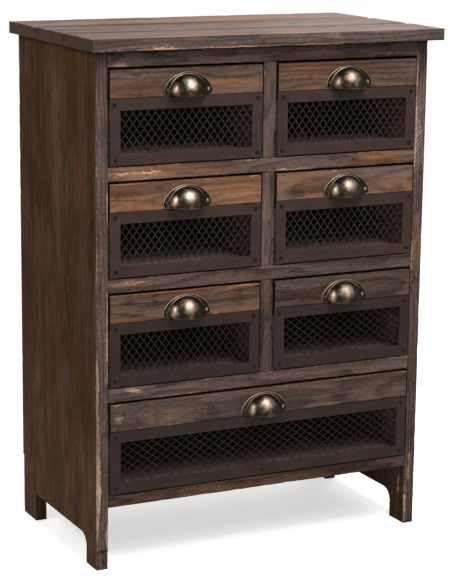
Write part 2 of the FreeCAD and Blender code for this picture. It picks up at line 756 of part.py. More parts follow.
for name, left, right, row, lie in drawers:
    wide = name == "wide"
    width = minus(right, left, times(2, size("side_gap")))
    place = (total(left, size("side_gap")), FACE_Y, row_level(row))
    nodes.append(drawer_strip(name + "_front", place, width, wide))
    nodes.append(drawer_frame(name + "_frame", place, width, wide))
    nodes.append(drawer_mesh(name + "_mesh", place, width, lie))
    nodes.append(drawer_pull(name + "_pull", place, width))
    nodes.append(drawer_box(name + "_box", place, width, wide))
    nodes.append(drawer_fasteners(name + "_fasteners", place, width, wide))

doc.recompute()
for item in doc.Objects:
    if "Invalid" in item.State or "Error" in item.State:
        raise RuntimeError("%s failed: %s" % (item.Label, item.State))
for node in nodes:
    if node.Shape.isNull() or not node.Shape.isValid():
        raise RuntimeError("%s has no valid shape" % node.Label)
os.makedirs("parts", exist_ok=True)
for node in nodes:
    node.Shape.exportStep("parts/%s.step" % node.Label)
print("%d nodes" % len(nodes))
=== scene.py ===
import math
import random

import bmesh
import bpy
import numpy as np
from bpy.props import FloatProperty, FloatVectorProperty, IntProperty, PointerProperty
from mathutils import Matrix, Vector, noise


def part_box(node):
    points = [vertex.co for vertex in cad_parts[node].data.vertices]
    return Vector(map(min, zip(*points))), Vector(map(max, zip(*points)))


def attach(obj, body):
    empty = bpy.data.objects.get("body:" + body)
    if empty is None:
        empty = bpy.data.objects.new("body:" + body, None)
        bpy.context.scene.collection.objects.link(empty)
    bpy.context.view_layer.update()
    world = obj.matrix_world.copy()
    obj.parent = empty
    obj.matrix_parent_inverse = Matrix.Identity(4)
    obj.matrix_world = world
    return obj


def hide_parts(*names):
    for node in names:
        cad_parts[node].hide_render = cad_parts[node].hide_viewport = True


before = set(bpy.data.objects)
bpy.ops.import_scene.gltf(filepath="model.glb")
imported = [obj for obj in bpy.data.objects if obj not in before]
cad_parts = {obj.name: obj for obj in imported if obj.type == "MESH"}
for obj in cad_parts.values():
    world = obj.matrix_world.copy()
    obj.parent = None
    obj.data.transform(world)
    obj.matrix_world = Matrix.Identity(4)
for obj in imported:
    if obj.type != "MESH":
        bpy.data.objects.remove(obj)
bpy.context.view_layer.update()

bl_info = {
    "name": "Mesh-front chest of drawers",
    "version": (1, 0, 0),
    "blender": (4, 5, 0),
    "location": "3D View > Sidebar > Chest",
    "description": "Worn stained planks, mesh drawer fronts and cup pulls around the packed chest",
    "category": "Object",
}

MM = 0.001

# Axes of the shared frame: X to the right, Y to the back, Z up
X, Y, Z = 0, 1, 2

DRAWERS = ["row1_left", "row1_right", "row2_left", "row2_right", "row3_left", "row3_right", "wide"]

# Lower drawers whose frames, mesh and box bottoms are drawn darker, as painted shade of the light falling
# off towards the floor
SHADED_DRAWERS = ["row3_left", "row3_right", "wide"]

# The nodes that the materials and the trees use most
MATH, VECTOR, RANGE = "ShaderNodeMath", "ShaderNodeVectorMath", "ShaderNodeMapRange"
MIX, NOISE, BUMP = "ShaderNodeMix", "ShaderNodeTexNoise", "ShaderNodeBump"
SPLIT, COMBINE, ATTRIBUTE = "ShaderNodeSeparateXYZ", "ShaderNodeCombineXYZ", "ShaderNodeAttribute"
TRANSFORM, PLACE = "GeometryNodeTransform", "GeometryNodeInstanceOnPoints"
TURN = "FunctionNodeEulerToRotation"
SMOOTH = {"interpolation_type": "SMOOTHSTEP"}


def linear(code):
    """Linear colour of an sRGB hex code."""
    parts = [int(code[place:place + 2], 16) / 255 for place in (1, 3, 5)]
    return [part / 12.92 if part <= 0.04045 else ((part + 0.055) / 1.055) ** 2.4 for part in parts]


def colour(name, code, description):
    """Colour property from an sRGB hex code."""
    return FloatVectorProperty(name=name, description=description, default=linear(code),
                               subtype="COLOR", min=0, max=1)


def length(name, millimetres, description):
    """Length property from millimetres."""
    return FloatProperty(name=name, description=description, default=millimetres * MM,
                         unit="LENGTH", min=0, precision=4)


class ChestWood(bpy.types.PropertyGroup):
    """Colours and scales of the wood."""
    stain: colour("Stain", "#5f4e48", "Slate-brown stain where it lies thick")
    stain_deep: colour("Deep stain", "#40342f", "Stain in the streaks that took more of it")
    warm: colour("Thin stain", "#7d563b", "Orange-brown wood under thin stain")
    warm_deep: colour("Deep thin stain", "#523a2b", "Darker streaks in the thin stain")
    olive: colour("Side stain", "#49321e", "Browner stain on the sides")
    olive_deep: colour("Deep side stain", "#322318", "Darker streaks in the side stain")
    olive_thin: colour("Thin side stain", "#613d26", "Red-brown wood under thin side stain")
    worn: colour("Worn wood", "#b0927c", "Bare wood on worn arrises and patches")
    worn_deep: colour("Darkened worn wood", "#896852", "Bare wood that has darkened again")
    grime: colour("Grime", "#1b140f", "Dirt in cracks and smudges")
    inside: colour("Drawer wood", "#9a8379", "Stained softwood inside the drawers")
    inside_deep: colour("Deep drawer wood", "#735f57", "Darker streaks inside the drawers")
    panel: colour("Panel wood", "#5d4938", "Stained plywood of the back panel")
    ring: length("Ring spacing", 3.4, "Between growth rings")
    saw: length("Saw marks", 7.5, "Between saw marks along a board")


class ChestMetal(bpy.types.PropertyGroup):
    """Colours of the metal."""
    paint: colour("Frame paint", "#302320", "Dark brown paint on the mesh frames")
    paint_thin: colour("Thin frame paint", "#44332e", "Paint rubbed thin")
    # Near-black colour of the painted shade on the lower drawers' frames and mesh
    paint_shade: colour("Frame dirt", "#120d0b", "Dirt on the lower frames")
    wire: colour("Mesh paint", "#27201c", "Paint on the expanded mesh")
    wire_thin: colour("Thin mesh paint", "#3b322c", "Mesh paint rubbed thin")
    # Also the colour of the painted highlights on the cups
    brass: colour("Rubbed brass", "#ac9484", "Brass where hands keep it clean")
    patina: colour("Brass patina", "#231e13", "Dark patina in the recesses")
    screw: colour("Screw black", "#141010", "Blackened screws and nails")
    # Also the colour of the painted glint on the right screw of each pull
    steel: colour("Rubbed screw", "#877c72", "Screw heads where hands rub them")


class ChestSizes(bpy.types.PropertyGroup):
    """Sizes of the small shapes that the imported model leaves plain."""
    arris: length("Arris", 1.2, "Eased edges of the boards")
    step: length("Board step", 9, "Between the shaping lines across a board")
    wave: length("Board wave", 0.35, "Unevenness of the planed faces")
    nick: length("Nicks", 1.4, "Depth of the nicks in the arrises")
    crown: length("Plank crown", 2.0, "Fall of the top planks to their joints")
    crown_width: length("Crown width", 16, "Width of that fall")
    strand: length("Strand width", 1.15, "Width of the mesh strands")
    strand_depth: length("Strand depth", 0.55, "Thickness of the mesh strands")
    rim: length("Mesh rim", 2.5, "Uncut rim of the mesh")
    tilt: FloatProperty(name="Strand tilt", description="Turn of the strands about their length",
                        default=math.radians(42), subtype="ANGLE")
    seed: IntProperty(name="Seed", description="Seed of every random choice", default=7)


class ChestStage(bpy.types.PropertyGroup):
    """Camera and lamps."""
    lens: FloatProperty(name="Lens", description="Focal length in millimetres on a 36 mm sensor",
                        default=121.9, min=1)
    camera: FloatVectorProperty(name="Camera", description="Place of the camera",
                                default=(-1.3714, -2.7735, 1.0587), subtype="TRANSLATION")
    yaw: FloatProperty(name="Yaw", description="Camera turned to the right of the chest's depth",
                       default=math.radians(26.40), subtype="ANGLE")
    pitch: FloatProperty(name="Pitch", description="Camera turned down", default=math.radians(12.36),
                         subtype="ANGLE")
    roll: FloatProperty(name="Roll", description="Camera turned about its line of sight",
                        default=math.radians(0.65), subtype="ANGLE")
    key: FloatProperty(name="Key lamp", description="High soft box in front of the top", default=27,
                       unit="POWER")
    front: FloatProperty(name="Front lamp", description="Soft box in front, which lights the drawers",
                         default=15, unit="POWER")
    side: FloatProperty(name="Side lamp", description="High soft box to the left", default=14.5,
                        unit="POWER")
    rear: FloatProperty(name="Rear lamp", description="Soft box behind", default=16, unit="POWER")
    room: FloatProperty(name="Room light", description="Light from all round", default=0.3, min=0)


def plug(tree, node, inputs):
    """Node given its inputs, each a value, a socket, or a node for its first output."""
    pairs = inputs.items() if isinstance(inputs, dict) else enumerate(inputs)
    for key, value in pairs:
        if isinstance(value, bpy.types.Node):
            value = next(socket for socket in value.outputs if socket.enabled)
        if isinstance(value, bpy.types.NodeSocket):
            tree.links.new(value, node.inputs[key])
        else:
            node.inputs[key].default_value = value
    return node


def add(tree, kind, inputs=(), **settings):
    """New node of a kind with its settings and inputs."""
    node = tree.nodes.new(kind)
    for name, value in settings.items():
        setattr(node, name, value)
    return plug(tree, node, inputs)


def weighted_sum(tree, total, *parts):
    """Last node of a start value plus each source times its weight."""
    for source, weight in parts:
        total = add(tree, MATH, (source, weight, total), operation="MULTIPLY_ADD")
    return total


def new_material(name):
    """Material with a principled shader, as itself, its tree and that shader."""
    material = bpy.data.materials.new(name)
    material.use_nodes = True
    tree = material.node_tree
    return material, tree, tree.nodes["Principled BSDF"]


def rgba(value):
    """Colour with full alpha."""
    return (*value[:3], 1)


# Cloudy patterns in the wood: their lengths along and across the grain in millimetres, the detail
# and the roughness of the noise
WOOD_CLOUDS = {
    "wander": (300, 90, 1.5, 0.5),
    "ripple": (120, 14, 1.0, 0.5),
    "streaks": (220, 9, 3.0, 0.55),
    "patches": (150, 18, 5.0, 0.6),
    "drift": (500, 120, 1.0, 0.5),
    "scuffs": (46, 7, 6.0, 0.7),
    "smudges": (60, 22, 4.0, 0.65),
    "fibres": (90, 1.7, 3.0, 0.62),
    "mottle": (7, 3.2, 3.0, 0.6),
    "cracks": (200, 10, 2.0, 0.5),
    "cracked": (130, 50, 1.0, 0.5),
}


def wood_material(name, thick, thick_deep, thin, thin_deep, shine):
    """Sawn softwood under a worn stain: broad and fine streaks along each board, faint growth rings,
    warm where the stain is thin, bare tan wood on the arrises, and dirt in smudges and cracks. The
    stain is matt, and browner where the brown attribute says so."""
    look = bpy.context.scene.chest_wood
    material, tree, shader = new_material(name)
    real, coarse, tone, mark = [add(tree, ATTRIBUTE, attribute_name=key).outputs["Vector"]
                                for key in ("grain", "coarse", "tone", "mark")]
    edge, brown = [add(tree, ATTRIBUTE, attribute_name=key).outputs["Fac"] for key in ("edge", "brown")]
    warm, light, worn = add(tree, SPLIT, (tone,)).outputs
    sawn, knot, end = add(tree, SPLIT, (mark,)).outputs
    grain = add(tree, VECTOR, (real, coarse), operation="DIVIDE")

    clouds = {}
    for count, (key, (along, across, detail, roughness)) in enumerate(WOOD_CLOUDS.items()):
        scale = (1 / (along * MM), 1 / (across * MM), 1 / (across * MM))
        place = add(tree, VECTOR, (grain, scale, (count * 3.7,) * 3), operation="MULTIPLY_ADD")
        clouds[key] = add(tree, NOISE, {"Vector": place, "Scale": 1.0, "Detail": detail,
                                        "Roughness": roughness})

    # Growth rings are circles round the pith, which wanders along the board and bends round a knot
    bent = add(tree, VECTOR, (clouds["wander"].outputs["Color"], (0, 0.016, 0.022), grain),
               operation="MULTIPLY_ADD")
    flat = add(tree, VECTOR, (bent, (0, 1, 1)), operation="MULTIPLY")
    radius = add(tree, VECTOR, (flat,), operation="LENGTH").outputs["Value"]
    rings = add(tree, MATH, (radius, look.ring), operation="DIVIDE")
    rings = weighted_sum(tree, rings, (clouds["ripple"], 1.3), (knot, 2.2))
    rings = add(tree, MATH, (rings,), operation="FRACT")
    late = add(tree, RANGE, (rings, 0.35, 0.9), **SMOOTH)
    early = add(tree, RANGE, (rings, 0.93, 1.0, 1.0, 0.0))
    late = add(tree, MATH, (late, early), operation="MULTIPLY")

    # Stain: deeper in streaks and patches, and thin enough in places to show warm wood. The side stain
    # is browner, though not everywhere
    slate = add(tree, RANGE, (clouds["cracked"], 0.42, 0.62, 1.0, 0.75), **SMOOTH)
    brown = add(tree, MATH, (brown, slate), operation="MULTIPLY")
    deep = weighted_sum(tree, 0.0, (clouds["streaks"], 0.5), (clouds["patches"], 0.8), (late, 0.08),
                        (knot, 0.3))
    deep = add(tree, RANGE, (deep, 0.55, 0.84), **SMOOTH)
    stains = [add(tree, MIX, {0: brown, 6: rgba(front), 7: rgba(side)}, data_type="RGBA")
              for front, side in ((thick, look.olive), (thick_deep, look.olive_deep),
                                  (thin, look.olive_thin), (thin_deep, look.olive))]
    thick_stain, thin_stain = [add(tree, MIX, {0: deep, 6: pale, 7: dark}, data_type="RGBA")
                               for pale, dark in (stains[:2], stains[2:])]
    warmth = weighted_sum(tree, warm, (clouds["drift"], 1.1), (clouds["patches"], 1.3),
                          (clouds["scuffs"], 0.5))
    warmth = add(tree, RANGE, (warmth, 1.6, 2.3, 0.0, 0.9), **SMOOTH)
    wood = add(tree, MIX, {0: warmth, 6: thick_stain, 7: thin_stain}, data_type="RGBA")

    # Bare wood: on arrises, in worn patches, and broken up by scuffs
    near = add(tree, RANGE, (edge, 0.0, 3 * MM, 0.3, 0.0), **SMOOTH)
    wear = add(tree, MATH, (near, worn), operation="ADD")
    wear = weighted_sum(tree, wear, (clouds["scuffs"], 2.4), (clouds["mottle"], 0.9))
    wear = add(tree, RANGE, (wear, 1.92, 2.4), **SMOOTH)
    share = add(tree, RANGE, (clouds["streaks"], 0.4, 0.62))
    bare = add(tree, MIX, {0: share, 6: rgba(look.worn), 7: rgba(look.worn_deep)}, data_type="RGBA")
    share = add(tree, MATH, (wear, 0.8), operation="MULTIPLY")
    wood = add(tree, MIX, {0: share, 6: wood, 7: bare}, data_type="RGBA")

    # Slanting marks of the band saw, light where its teeth tore the stained surface and dark between.
    # The real ones are 4 to 5 mm apart, and are drawn coarser to show in the render
    along, beside, through = add(tree, SPLIT, (real,)).outputs
    beside = add(tree, MATH, (beside, through), operation="ADD")
    slant = weighted_sum(tree, along, (beside, -1.3), (clouds["smudges"], look.saw * 1.1))
    slant = add(tree, MATH, (slant, 2 * math.pi / look.saw), operation="MULTIPLY")
    teeth = add(tree, MATH, (slant,), operation="SINE")
    teeth = add(tree, RANGE, (teeth, -0.1, 0.8), **SMOOTH)
    broken = add(tree, RANGE, (clouds["scuffs"], 0.4, 0.6), **SMOOTH)
    for share in (broken, sawn):
        teeth = add(tree, MATH, (teeth, share), operation="MULTIPLY")
    share = add(tree, MATH, (teeth, 0.8), operation="MULTIPLY")
    wood = add(tree, MIX, {0: share, 6: wood, 7: rgba(look.worn)}, data_type="RGBA")
    between = add(tree, MATH, (sawn, teeth), operation="SUBTRACT", use_clamp=True)
    between = add(tree, MATH, (between, 0.2), operation="MULTIPLY")

    # Dirt in smudges, cracks, knots and end grain, and between the saw marks
    dirt = add(tree, RANGE, (clouds["smudges"], 0.56, 0.72, 0.0, 0.5), **SMOOTH)
    off = add(tree, MATH, (clouds["cracks"], 0.5), operation="SUBTRACT")
    off = add(tree, MATH, (off,), operation="ABSOLUTE")
    crack = add(tree, RANGE, (off, 0.002, 0.011, 1.0, 0.0), **SMOOTH)
    where = add(tree, RANGE, (clouds["cracked"], 0.54, 0.64), **SMOOTH)
    crack = add(tree, MATH, (crack, where), operation="MULTIPLY")
    cracks = add(tree, MATH, (crack, 0.8), operation="MULTIPLY")
    core = add(tree, RANGE, (knot, 0.45, 0.85, 0.0, 0.8), **SMOOTH)
    ends = add(tree, MATH, (end, 0.66), operation="MULTIPLY")
    for share in (cracks, core, between, ends):
        dirt = add(tree, MATH, (dirt, share), operation="MAXIMUM")
    wood = add(tree, MIX, {0: dirt, 6: wood, 7: rgba(look.grime)}, data_type="RGBA")

    # Fibres, mottling, patches and the board's lightness scale the colour; that lightness carries some
    # painted shade and light
    gain = weighted_sum(tree, light, (clouds["fibres"], 1.2), (clouds["mottle"], 1.2),
                        (clouds["patches"], 0.7), (clouds["streaks"], 1.0), (late, -0.2))
    gain = add(tree, MATH, (gain, 1.04), operation="SUBTRACT")
    gain = add(tree, MATH, (gain, 0.15), operation="MAXIMUM")
    grey = add(tree, COMBINE, (gain, gain, gain))
    wood = add(tree, MIX, {0: 1.0, 6: wood, 7: grey}, data_type="RGBA", blend_type="MULTIPLY")

    height = weighted_sum(tree, 0.0, (late, 0.3), (clouds["fibres"], 0.7), (clouds["mottle"], 0.4),
                          (teeth, 0.5), (crack, -1.6))
    bump = add(tree, BUMP, {"Height": height, "Strength": 0.7, "Distance": 0.6 * MM})
    rough = weighted_sum(tree, 0.5, (clouds["fibres"], 0.25), (wear, 0.12))
    plug(tree, shader, {"Base Color": wood, "Roughness": rough, "Normal": bump,
                        "Specular IOR Level": shine})
    return material


def painted_steel(name, paint, thin):
    """Steel under brushed dark paint: satin, a little cloudy, thinner on its edges, and darkened on the
    lower drawers as painted shade. The clouds are 33 mm long and 13 mm high, and the grit 1.1 mm."""
    look = bpy.context.scene.chest_metal
    material, tree, shader = new_material(name)
    place = add(tree, "ShaderNodeTexCoord").outputs["Object"]
    edge, dirt = [add(tree, ATTRIBUTE, attribute_name=key).outputs["Fac"] for key in ("edge", "dirt")]
    stretched = add(tree, VECTOR, (place, (33.3 * MM, 33.3 * MM, 13.3 * MM)), operation="DIVIDE")
    clouds = add(tree, NOISE, {"Vector": stretched, "Scale": 1.0, "Detail": 5.0, "Roughness": 0.6})
    grit = add(tree, NOISE, {"Vector": place, "Scale": 1 / (1.11 * MM), "Detail": 2.0})
    near = add(tree, RANGE, (edge, 0.0, 1.6 * MM, 0.35, 0.0))
    share = add(tree, RANGE, (clouds, 0.35, 0.75, 0.0, 0.6), **SMOOTH)
    share = add(tree, MATH, (share, near), operation="ADD")
    mixed = add(tree, MIX, {0: share, 6: rgba(paint), 7: rgba(thin)}, data_type="RGBA")
    # Painted shade: the lower drawers' metal is darkened towards near-black
    mixed = add(tree, MIX, {0: dirt, 6: mixed, 7: rgba(look.paint_shade)}, data_type="RGBA")
    rough = add(tree, RANGE, (clouds, 0.3, 0.7, 0.46, 0.62))
    bump = add(tree, BUMP, {"Height": grit, "Strength": 0.3, "Distance": 0.3 * MM})
    plug(tree, shader, {"Base Color": mixed, "Roughness": rough, "Normal": bump,
                        "Specular IOR Level": 0.12})
    return material


def antique_brass(name):
    """Pressed brass, blackened and then rubbed by hands: dark in its recesses, warm and bright on the
    raised parts, with soft blotches of 8 mm and specks of 1 mm between. The bright brass also stands
    where the lamps' highlights fall on the cups, as painted highlight."""
    look = bpy.context.scene.chest_metal
    material, tree, shader = new_material(name)
    rub = add(tree, ATTRIBUTE, attribute_name="rub").outputs["Fac"]
    place = add(tree, "ShaderNodeTexCoord").outputs["Object"]
    blotch = add(tree, NOISE, {"Vector": place, "Scale": 1 / (7.69 * MM), "Detail": 4.0, "Roughness": 0.6})
    speck = add(tree, NOISE, {"Vector": place, "Scale": 1 / (1.11 * MM), "Detail": 2.0})
    share = weighted_sum(tree, rub, (blotch, 0.7), (speck, 0.3))
    share = add(tree, RANGE, (share, 0.62, 1.42), **SMOOTH)
    mixed = add(tree, MIX, {0: share, 6: rgba(look.patina), 7: rgba(look.brass)}, data_type="RGBA")
    rough = add(tree, RANGE, (share, 0.0, 1.0, 0.5, 0.34))
    plug(tree, shader, {"Base Color": mixed, "Roughness": rough, "Metallic": 1.0})
    return material


def blackened_steel(name):
    """Turned steel screws and nails, chemically blackened: dark and dull, in spots of 2 mm bright where
    hands polish them, and brightest on the right screw of each pull as a painted glint."""
    look = bpy.context.scene.chest_metal
    material, tree, shader = new_material(name)
    rub = add(tree, ATTRIBUTE, attribute_name="rub").outputs["Fac"]
    place = add(tree, "ShaderNodeTexCoord").outputs["Object"]
    spots = add(tree, NOISE, {"Vector": place, "Scale": 1 / (2 * MM), "Detail": 2.0})
    share = add(tree, RANGE, (spots, 0.3, 0.6, 0.5, 1.0))
    share = add(tree, MATH, (share, rub), operation="MULTIPLY")
    mixed = add(tree, MIX, {0: share, 6: rgba(look.screw), 7: rgba(look.steel)}, data_type="RGBA")
    rough = add(tree, RANGE, (share, 0.0, 1.0, 0.55, 0.3))
    plug(tree, shader, {"Base Color": mixed, "Roughness": rough, "Metallic": 0.8})
    return material


def finish_for(name):
    """Finished material, made when it is first asked for."""
    wood = bpy.context.scene.chest_wood
    metal = bpy.context.scene.chest_metal
    stain = (wood.stain, wood.stain_deep, wood.warm, wood.warm_deep)
    finishes = {
        "fir_sawn_stained": (wood_material, *stain, 0.005),
        "fir_sanded_waxed": (wood_material, *stain, 0.045),
        "softwood_planed_stained": (wood_material, *(wood.inside, wood.inside_deep) * 2, 0.03),
        "plywood_peeled_stained": (wood_material, wood.panel, wood.olive, wood.warm, wood.olive, 0.03),
        "steel_sheet_painted": (painted_steel, metal.paint, metal.paint_thin),
        "steel_expanded_painted": (painted_steel, metal.wire, metal.wire_thin),
        "brass_pressed_antiqued": (antique_brass,),
        "steel_turned_blackened": (blackened_steel,),
    }
    maker, *looks = finishes[name]
    return bpy.data.materials.get(name) or maker(name, *looks)


def box_of(across, deep, upward):
    """Lowest and highest corner of a box from its extents along X, Y and Z."""
    return [Vector(corner) for corner in zip(across, deep, upward)]


def outline_distance(points, outline):
    """Distances from points to a closed outline and to its corners, in its plane. A corner is where it
    turns by more than 45 degrees."""
    far, sharp = 1.0, 0.7
    near = np.full(len(points), far)
    corner = np.full(len(points), far)
    outline = np.array(outline)
    for before, start, finish in zip(np.roll(outline, 1, 0), outline, np.roll(outline, -1, 0)):
        run = finish - start
        share = np.clip(((points - start) @ run) / (run @ run), 0, 1)
        near = np.minimum(near, np.linalg.norm(points - start - share[:, None] * run, axis=1))
        arriving = (start - before) / np.linalg.norm(start - before)
        if abs(arriving @ run) / np.linalg.norm(run) < sharp:
            corner = np.minimum(corner, np.linalg.norm(points - start, axis=1))
    return near, corner


def cut_places(low, high, step):
    """Places between two ends: close to each end, then evenly."""
    first, second, margin = 2 * MM, 5 * MM, 1.5 * MM
    count = max(1, round((high - low) / step))
    places = [low + first, low + second, high - first, high - second]
    places += [low + (high - low) * index / count for index in range(1, count)]
    return sorted(place for place in places if low + margin < place < high - margin)


# What a patch on a board changes: it is warmer, lighter, more worn, sawn or has a knot
WARM, LIGHT, WORN, SAWN, KNOT = range(5)


class Board:
    """One board: its box in the shared frame, its direction, its outline and its tones. A patch is a
    kind, a place and its reach along X, Y and Z in millimetres, and how much of it there is. Coarse
    stretches the wood's patterns along and across the board. Brown says how far across it the browner
    stain starts; that stain turns greyer near the floor, as painted light thrown back by the floor."""

    def __init__(self, name, box, along, across, outline=None, fine=True, crown=(), coarse=(1, 1),
                 arris=1.0, brown=None, warm=0.3, light=0.0, worn=0.0, patches=()):
        self.low, self.high = box
        self.axes = (along, across, 3 - along - across)
        self.size = [self.high[axis] - self.low[axis] for axis in self.axes]
        run, width = self.size[0], self.size[1]
        self.outline = outline or [(0, 0), (run, 0), (run, width), (0, width)]
        self.fine = fine
        self.crown = crown
        self.coarse = (*coarse, coarse[1])
        self.arris = arris
        self.brown = brown
        self.tones = (warm, light, worn, 0.0, 0.0)
        self.patches = patches
        self.chance = random.Random(f"{name} {bpy.context.scene.chest_sizes.seed}")

    def block(self):
        """Prism of the outline with eased arrises and shaping lines, as vertices and faces."""
        sizes = bpy.context.scene.chest_sizes
        mesh = bmesh.new()
        face = mesh.faces.new([mesh.verts.new((run, width, 0)) for run, width in self.outline])
        raised = bmesh.ops.extrude_face_region(mesh, geom=[face])["geom"]
        moved = [item for item in raised if isinstance(item, bmesh.types.BMVert)]
        bmesh.ops.translate(mesh, verts=moved, vec=(0, 0, self.size[2]))
        bmesh.ops.recalc_face_normals(mesh, faces=mesh.faces)
        sharp = [line for line in mesh.edges if line.calc_face_angle(0) > 0.5]
        arris = min(sizes.arris * self.arris, self.size[2] * 0.2)
        bmesh.ops.bevel(mesh, geom=sharp, offset=arris, segments=2 if self.fine else 1, profile=0.5,
                        affect="EDGES")
        for axis in range(3):
            places = [vertex.co[axis] for vertex in mesh.verts]
            normal = Vector([1.0 if axis == place else 0.0 for place in range(3)])
            for place in cut_places(min(places), max(places), sizes.step * (1 if self.fine else 5)):
                geometry = mesh.verts[:] + mesh.edges[:] + mesh.faces[:]
                bmesh.ops.bisect_plane(mesh, geom=geometry, plane_co=normal * place, plane_no=normal,
                                       dist=1e-6)
        own = np.array([vertex.co for vertex in mesh.verts])
        faces = [[vertex.index for vertex in face.verts] for face in mesh.faces]
        mesh.free()
        return own, faces

    def aged(self, own, through, edge):
        """Vertices moved into gentle waves, nicks in the arrises and falls to the joints. A wave is
        about 110 mm long and 60 mm wide, and a nick 18 mm long and within 4 mm of an arris."""
        sizes = bpy.context.scene.chest_sizes
        seed = self.chance.uniform(0, 50)
        thick = self.size[2]
        skin, reach = 2.1 * MM, 4 * MM
        strength = min(1, self.arris * 1.5)
        moved = own.copy()
        for index, (run, width, deep) in enumerate(own if self.fine else ()):
            side = 1 if deep > thick / 2 else -1
            if through[index] < skin:
                wave = noise.noise((run * 9 + seed, width * 16, side * 7.0 + seed))
                moved[index, 2] += wave * side * sizes.wave * strength
            ragged = noise.noise((run * 55 + seed, width * 8 + seed, side * 3.0 + deep * 30))
            depth = max(0.0, ragged - 0.12) * 1.6 * sizes.nick * strength
            depth *= max(0.0, 1 - edge[index] / reach)
            inward = np.array([0.0, np.sign(self.size[1] / 2 - width), -side])
            moved[index] += inward * depth * 0.7
        for joint in self.crown:
            beside = np.abs(own[:, 1] - joint * self.size[1])
            fall = np.clip(1 - beside / sizes.crown_width, 0, 1) ** 2.5
            moved[:, 2] -= sizes.crown * fall * (own[:, 2] / thick)
        return moved

    def shape(self):
        """Arrays of the finished board: vertices, faces and the values that its material reads."""
        own, faces = self.block()
        near, corner = outline_distance(own[:, :2], self.outline)
        through = np.minimum(own[:, 2], self.size[2] - own[:, 2])
        edge = np.minimum(np.maximum(near, through), corner + 0.5 * MM)
        moved = self.aged(own, through, edge)
        places = np.zeros_like(moved)
        for local, axis in enumerate(self.axes):
            places[:, axis] = moved[:, local] + self.low[axis]
        if np.linalg.det(np.eye(3)[list(self.axes)]) < 0:
            faces = [face[::-1] for face in faces]

        # The pith lies under the board
        pith = (self.size[1] * self.chance.uniform(0.2, 0.8), self.chance.uniform(0.02, 0.06))
        grain = own + (self.chance.uniform(0, 20), -pith[0], pith[1])
        tones = np.tile(self.tones, (len(own), 1))
        for kind, centre, reach, amount in self.patches:
            away = (places - np.array(centre) * MM) / (np.array(reach) * MM)
            tones[:, kind] += amount * np.exp(-(away ** 2).sum(axis=1))
        ends = np.minimum(own[:, 0], self.size[0] - own[:, 0]) < 0.4 * MM
        brown = ends
        if self.brown is not None:
            # Painted light: the browner stain fades towards the floor, as if lit by light thrown back from
            # it
            brown = (own[:, 1] > self.brown) * (0.85 + 0.15 * np.clip(places[:, 2] / 0.3, 0, 1))
        return places, faces, {"grain": grain, "coarse": np.tile(self.coarse, (len(own), 1)),
                               "edge": edge, "tone": tones[:, :3], "brown": brown,
                               "mark": np.column_stack([tones[:, SAWN], tones[:, KNOT], ends])}


def make_piece(name, shapes, finish, node, body="carcass"):
    """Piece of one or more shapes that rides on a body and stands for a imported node."""
    places, faces = [], []
    values = {}
    for shape_places, shape_faces, shape_values in shapes:
        start = len(places)
        places.extend(map(tuple, shape_places))
        faces.extend([index + start for index in face] for face in shape_faces)
        for key, array in shape_values.items():
            values.setdefault(key, []).append(array)
    mesh = bpy.data.meshes.new(name)
    mesh.from_pydata(places, [], faces)
    for key, arrays in values.items():
        array = np.concatenate(arrays).astype(np.float32)
        kind, field = ("FLOAT_VECTOR", "vector") if array.ndim == 2 else ("FLOAT", "value")
        mesh.attributes.new(key, kind, "POINT").data.foreach_set(field, array.ravel())
    mesh.shade_smooth()
    mesh.materials.append(finish_for(finish))
    piece = bpy.data.objects.new(name, mesh)
    bpy.context.scene.collection.objects.link(piece)
    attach(piece, body)
    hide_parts(node)


def sweep(sections, closed):
    """Faces between rows of points, each row a closed loop; the rows are closed too, or capped."""
    rows, count = sections.shape[:2]
    faces = []
    for row in range(rows if closed else rows - 1):
        after = (row + 1) % rows
        for place in range(count):
            beside = (place + 1) % count
            faces.append([row * count + place, row * count + beside, after * count + beside,
                          after * count + place])
    if not closed:
        faces.append([place for place in range(count)][::-1])
        faces.append([(rows - 1) * count + place for place in range(count)])
    return faces


def clean_shape(places, faces, values):
    """Shape with its doubles merged and its faces turned outwards."""
    mesh = bmesh.new()
    layers = {key: mesh.verts.layers.float.new(key) for key in values}
    for index, place in enumerate(places):
        vertex = mesh.verts.new(place)
        for key, layer in layers.items():
            vertex[layer] = values[key][index]
    mesh.verts.ensure_lookup_table()
    for face in faces:
        mesh.faces.new([mesh.verts[index] for index in face])
    bmesh.ops.remove_doubles(mesh, verts=mesh.verts, dist=2e-5)
    bmesh.ops.dissolve_degenerate(mesh, edges=mesh.edges, dist=1e-6)
    bmesh.ops.recalc_face_normals(mesh, faces=mesh.faces)
    mesh.verts.index_update()
    places = np.array([vertex.co for vertex in mesh.verts])
    faces = [[vertex.index for vertex in face.verts] for face in mesh.faces]
    values = {key: np.array([vertex[layer] for vertex in mesh.verts]) for key, layer in layers.items()}
    mesh.free()
    return places, faces, values


def new_tree(name, inputs):
    """Geometry Nodes tree with named inputs, its input node and its output node."""
    tree = bpy.data.node_groups.new(name, "GeometryNodeTree")
    kinds = {float: "NodeSocketFloat", int: "NodeSocketInt", None: "NodeSocketGeometry"}
    for key, kind in inputs.items():
        tree.interface.new_socket(name=key, in_out="INPUT", socket_type=kinds[kind])
    tree.interface.new_socket(name="Geometry", in_out="OUTPUT", socket_type="NodeSocketGeometry")
    return tree, tree.nodes.new("NodeGroupInput").outputs, tree.nodes.new("NodeGroupOutput")


def end_tree(tree, shape, result, finish):
    """Make a tree's instances real, give them their finish and put them out."""
    shape = add(tree, "GeometryNodeRealizeInstances", {"Geometry": shape})
    shape = add(tree, "GeometryNodeSetMaterial", {"Geometry": shape, "Material": finish_for(finish)})
    plug(tree, result, (shape,))
    return tree


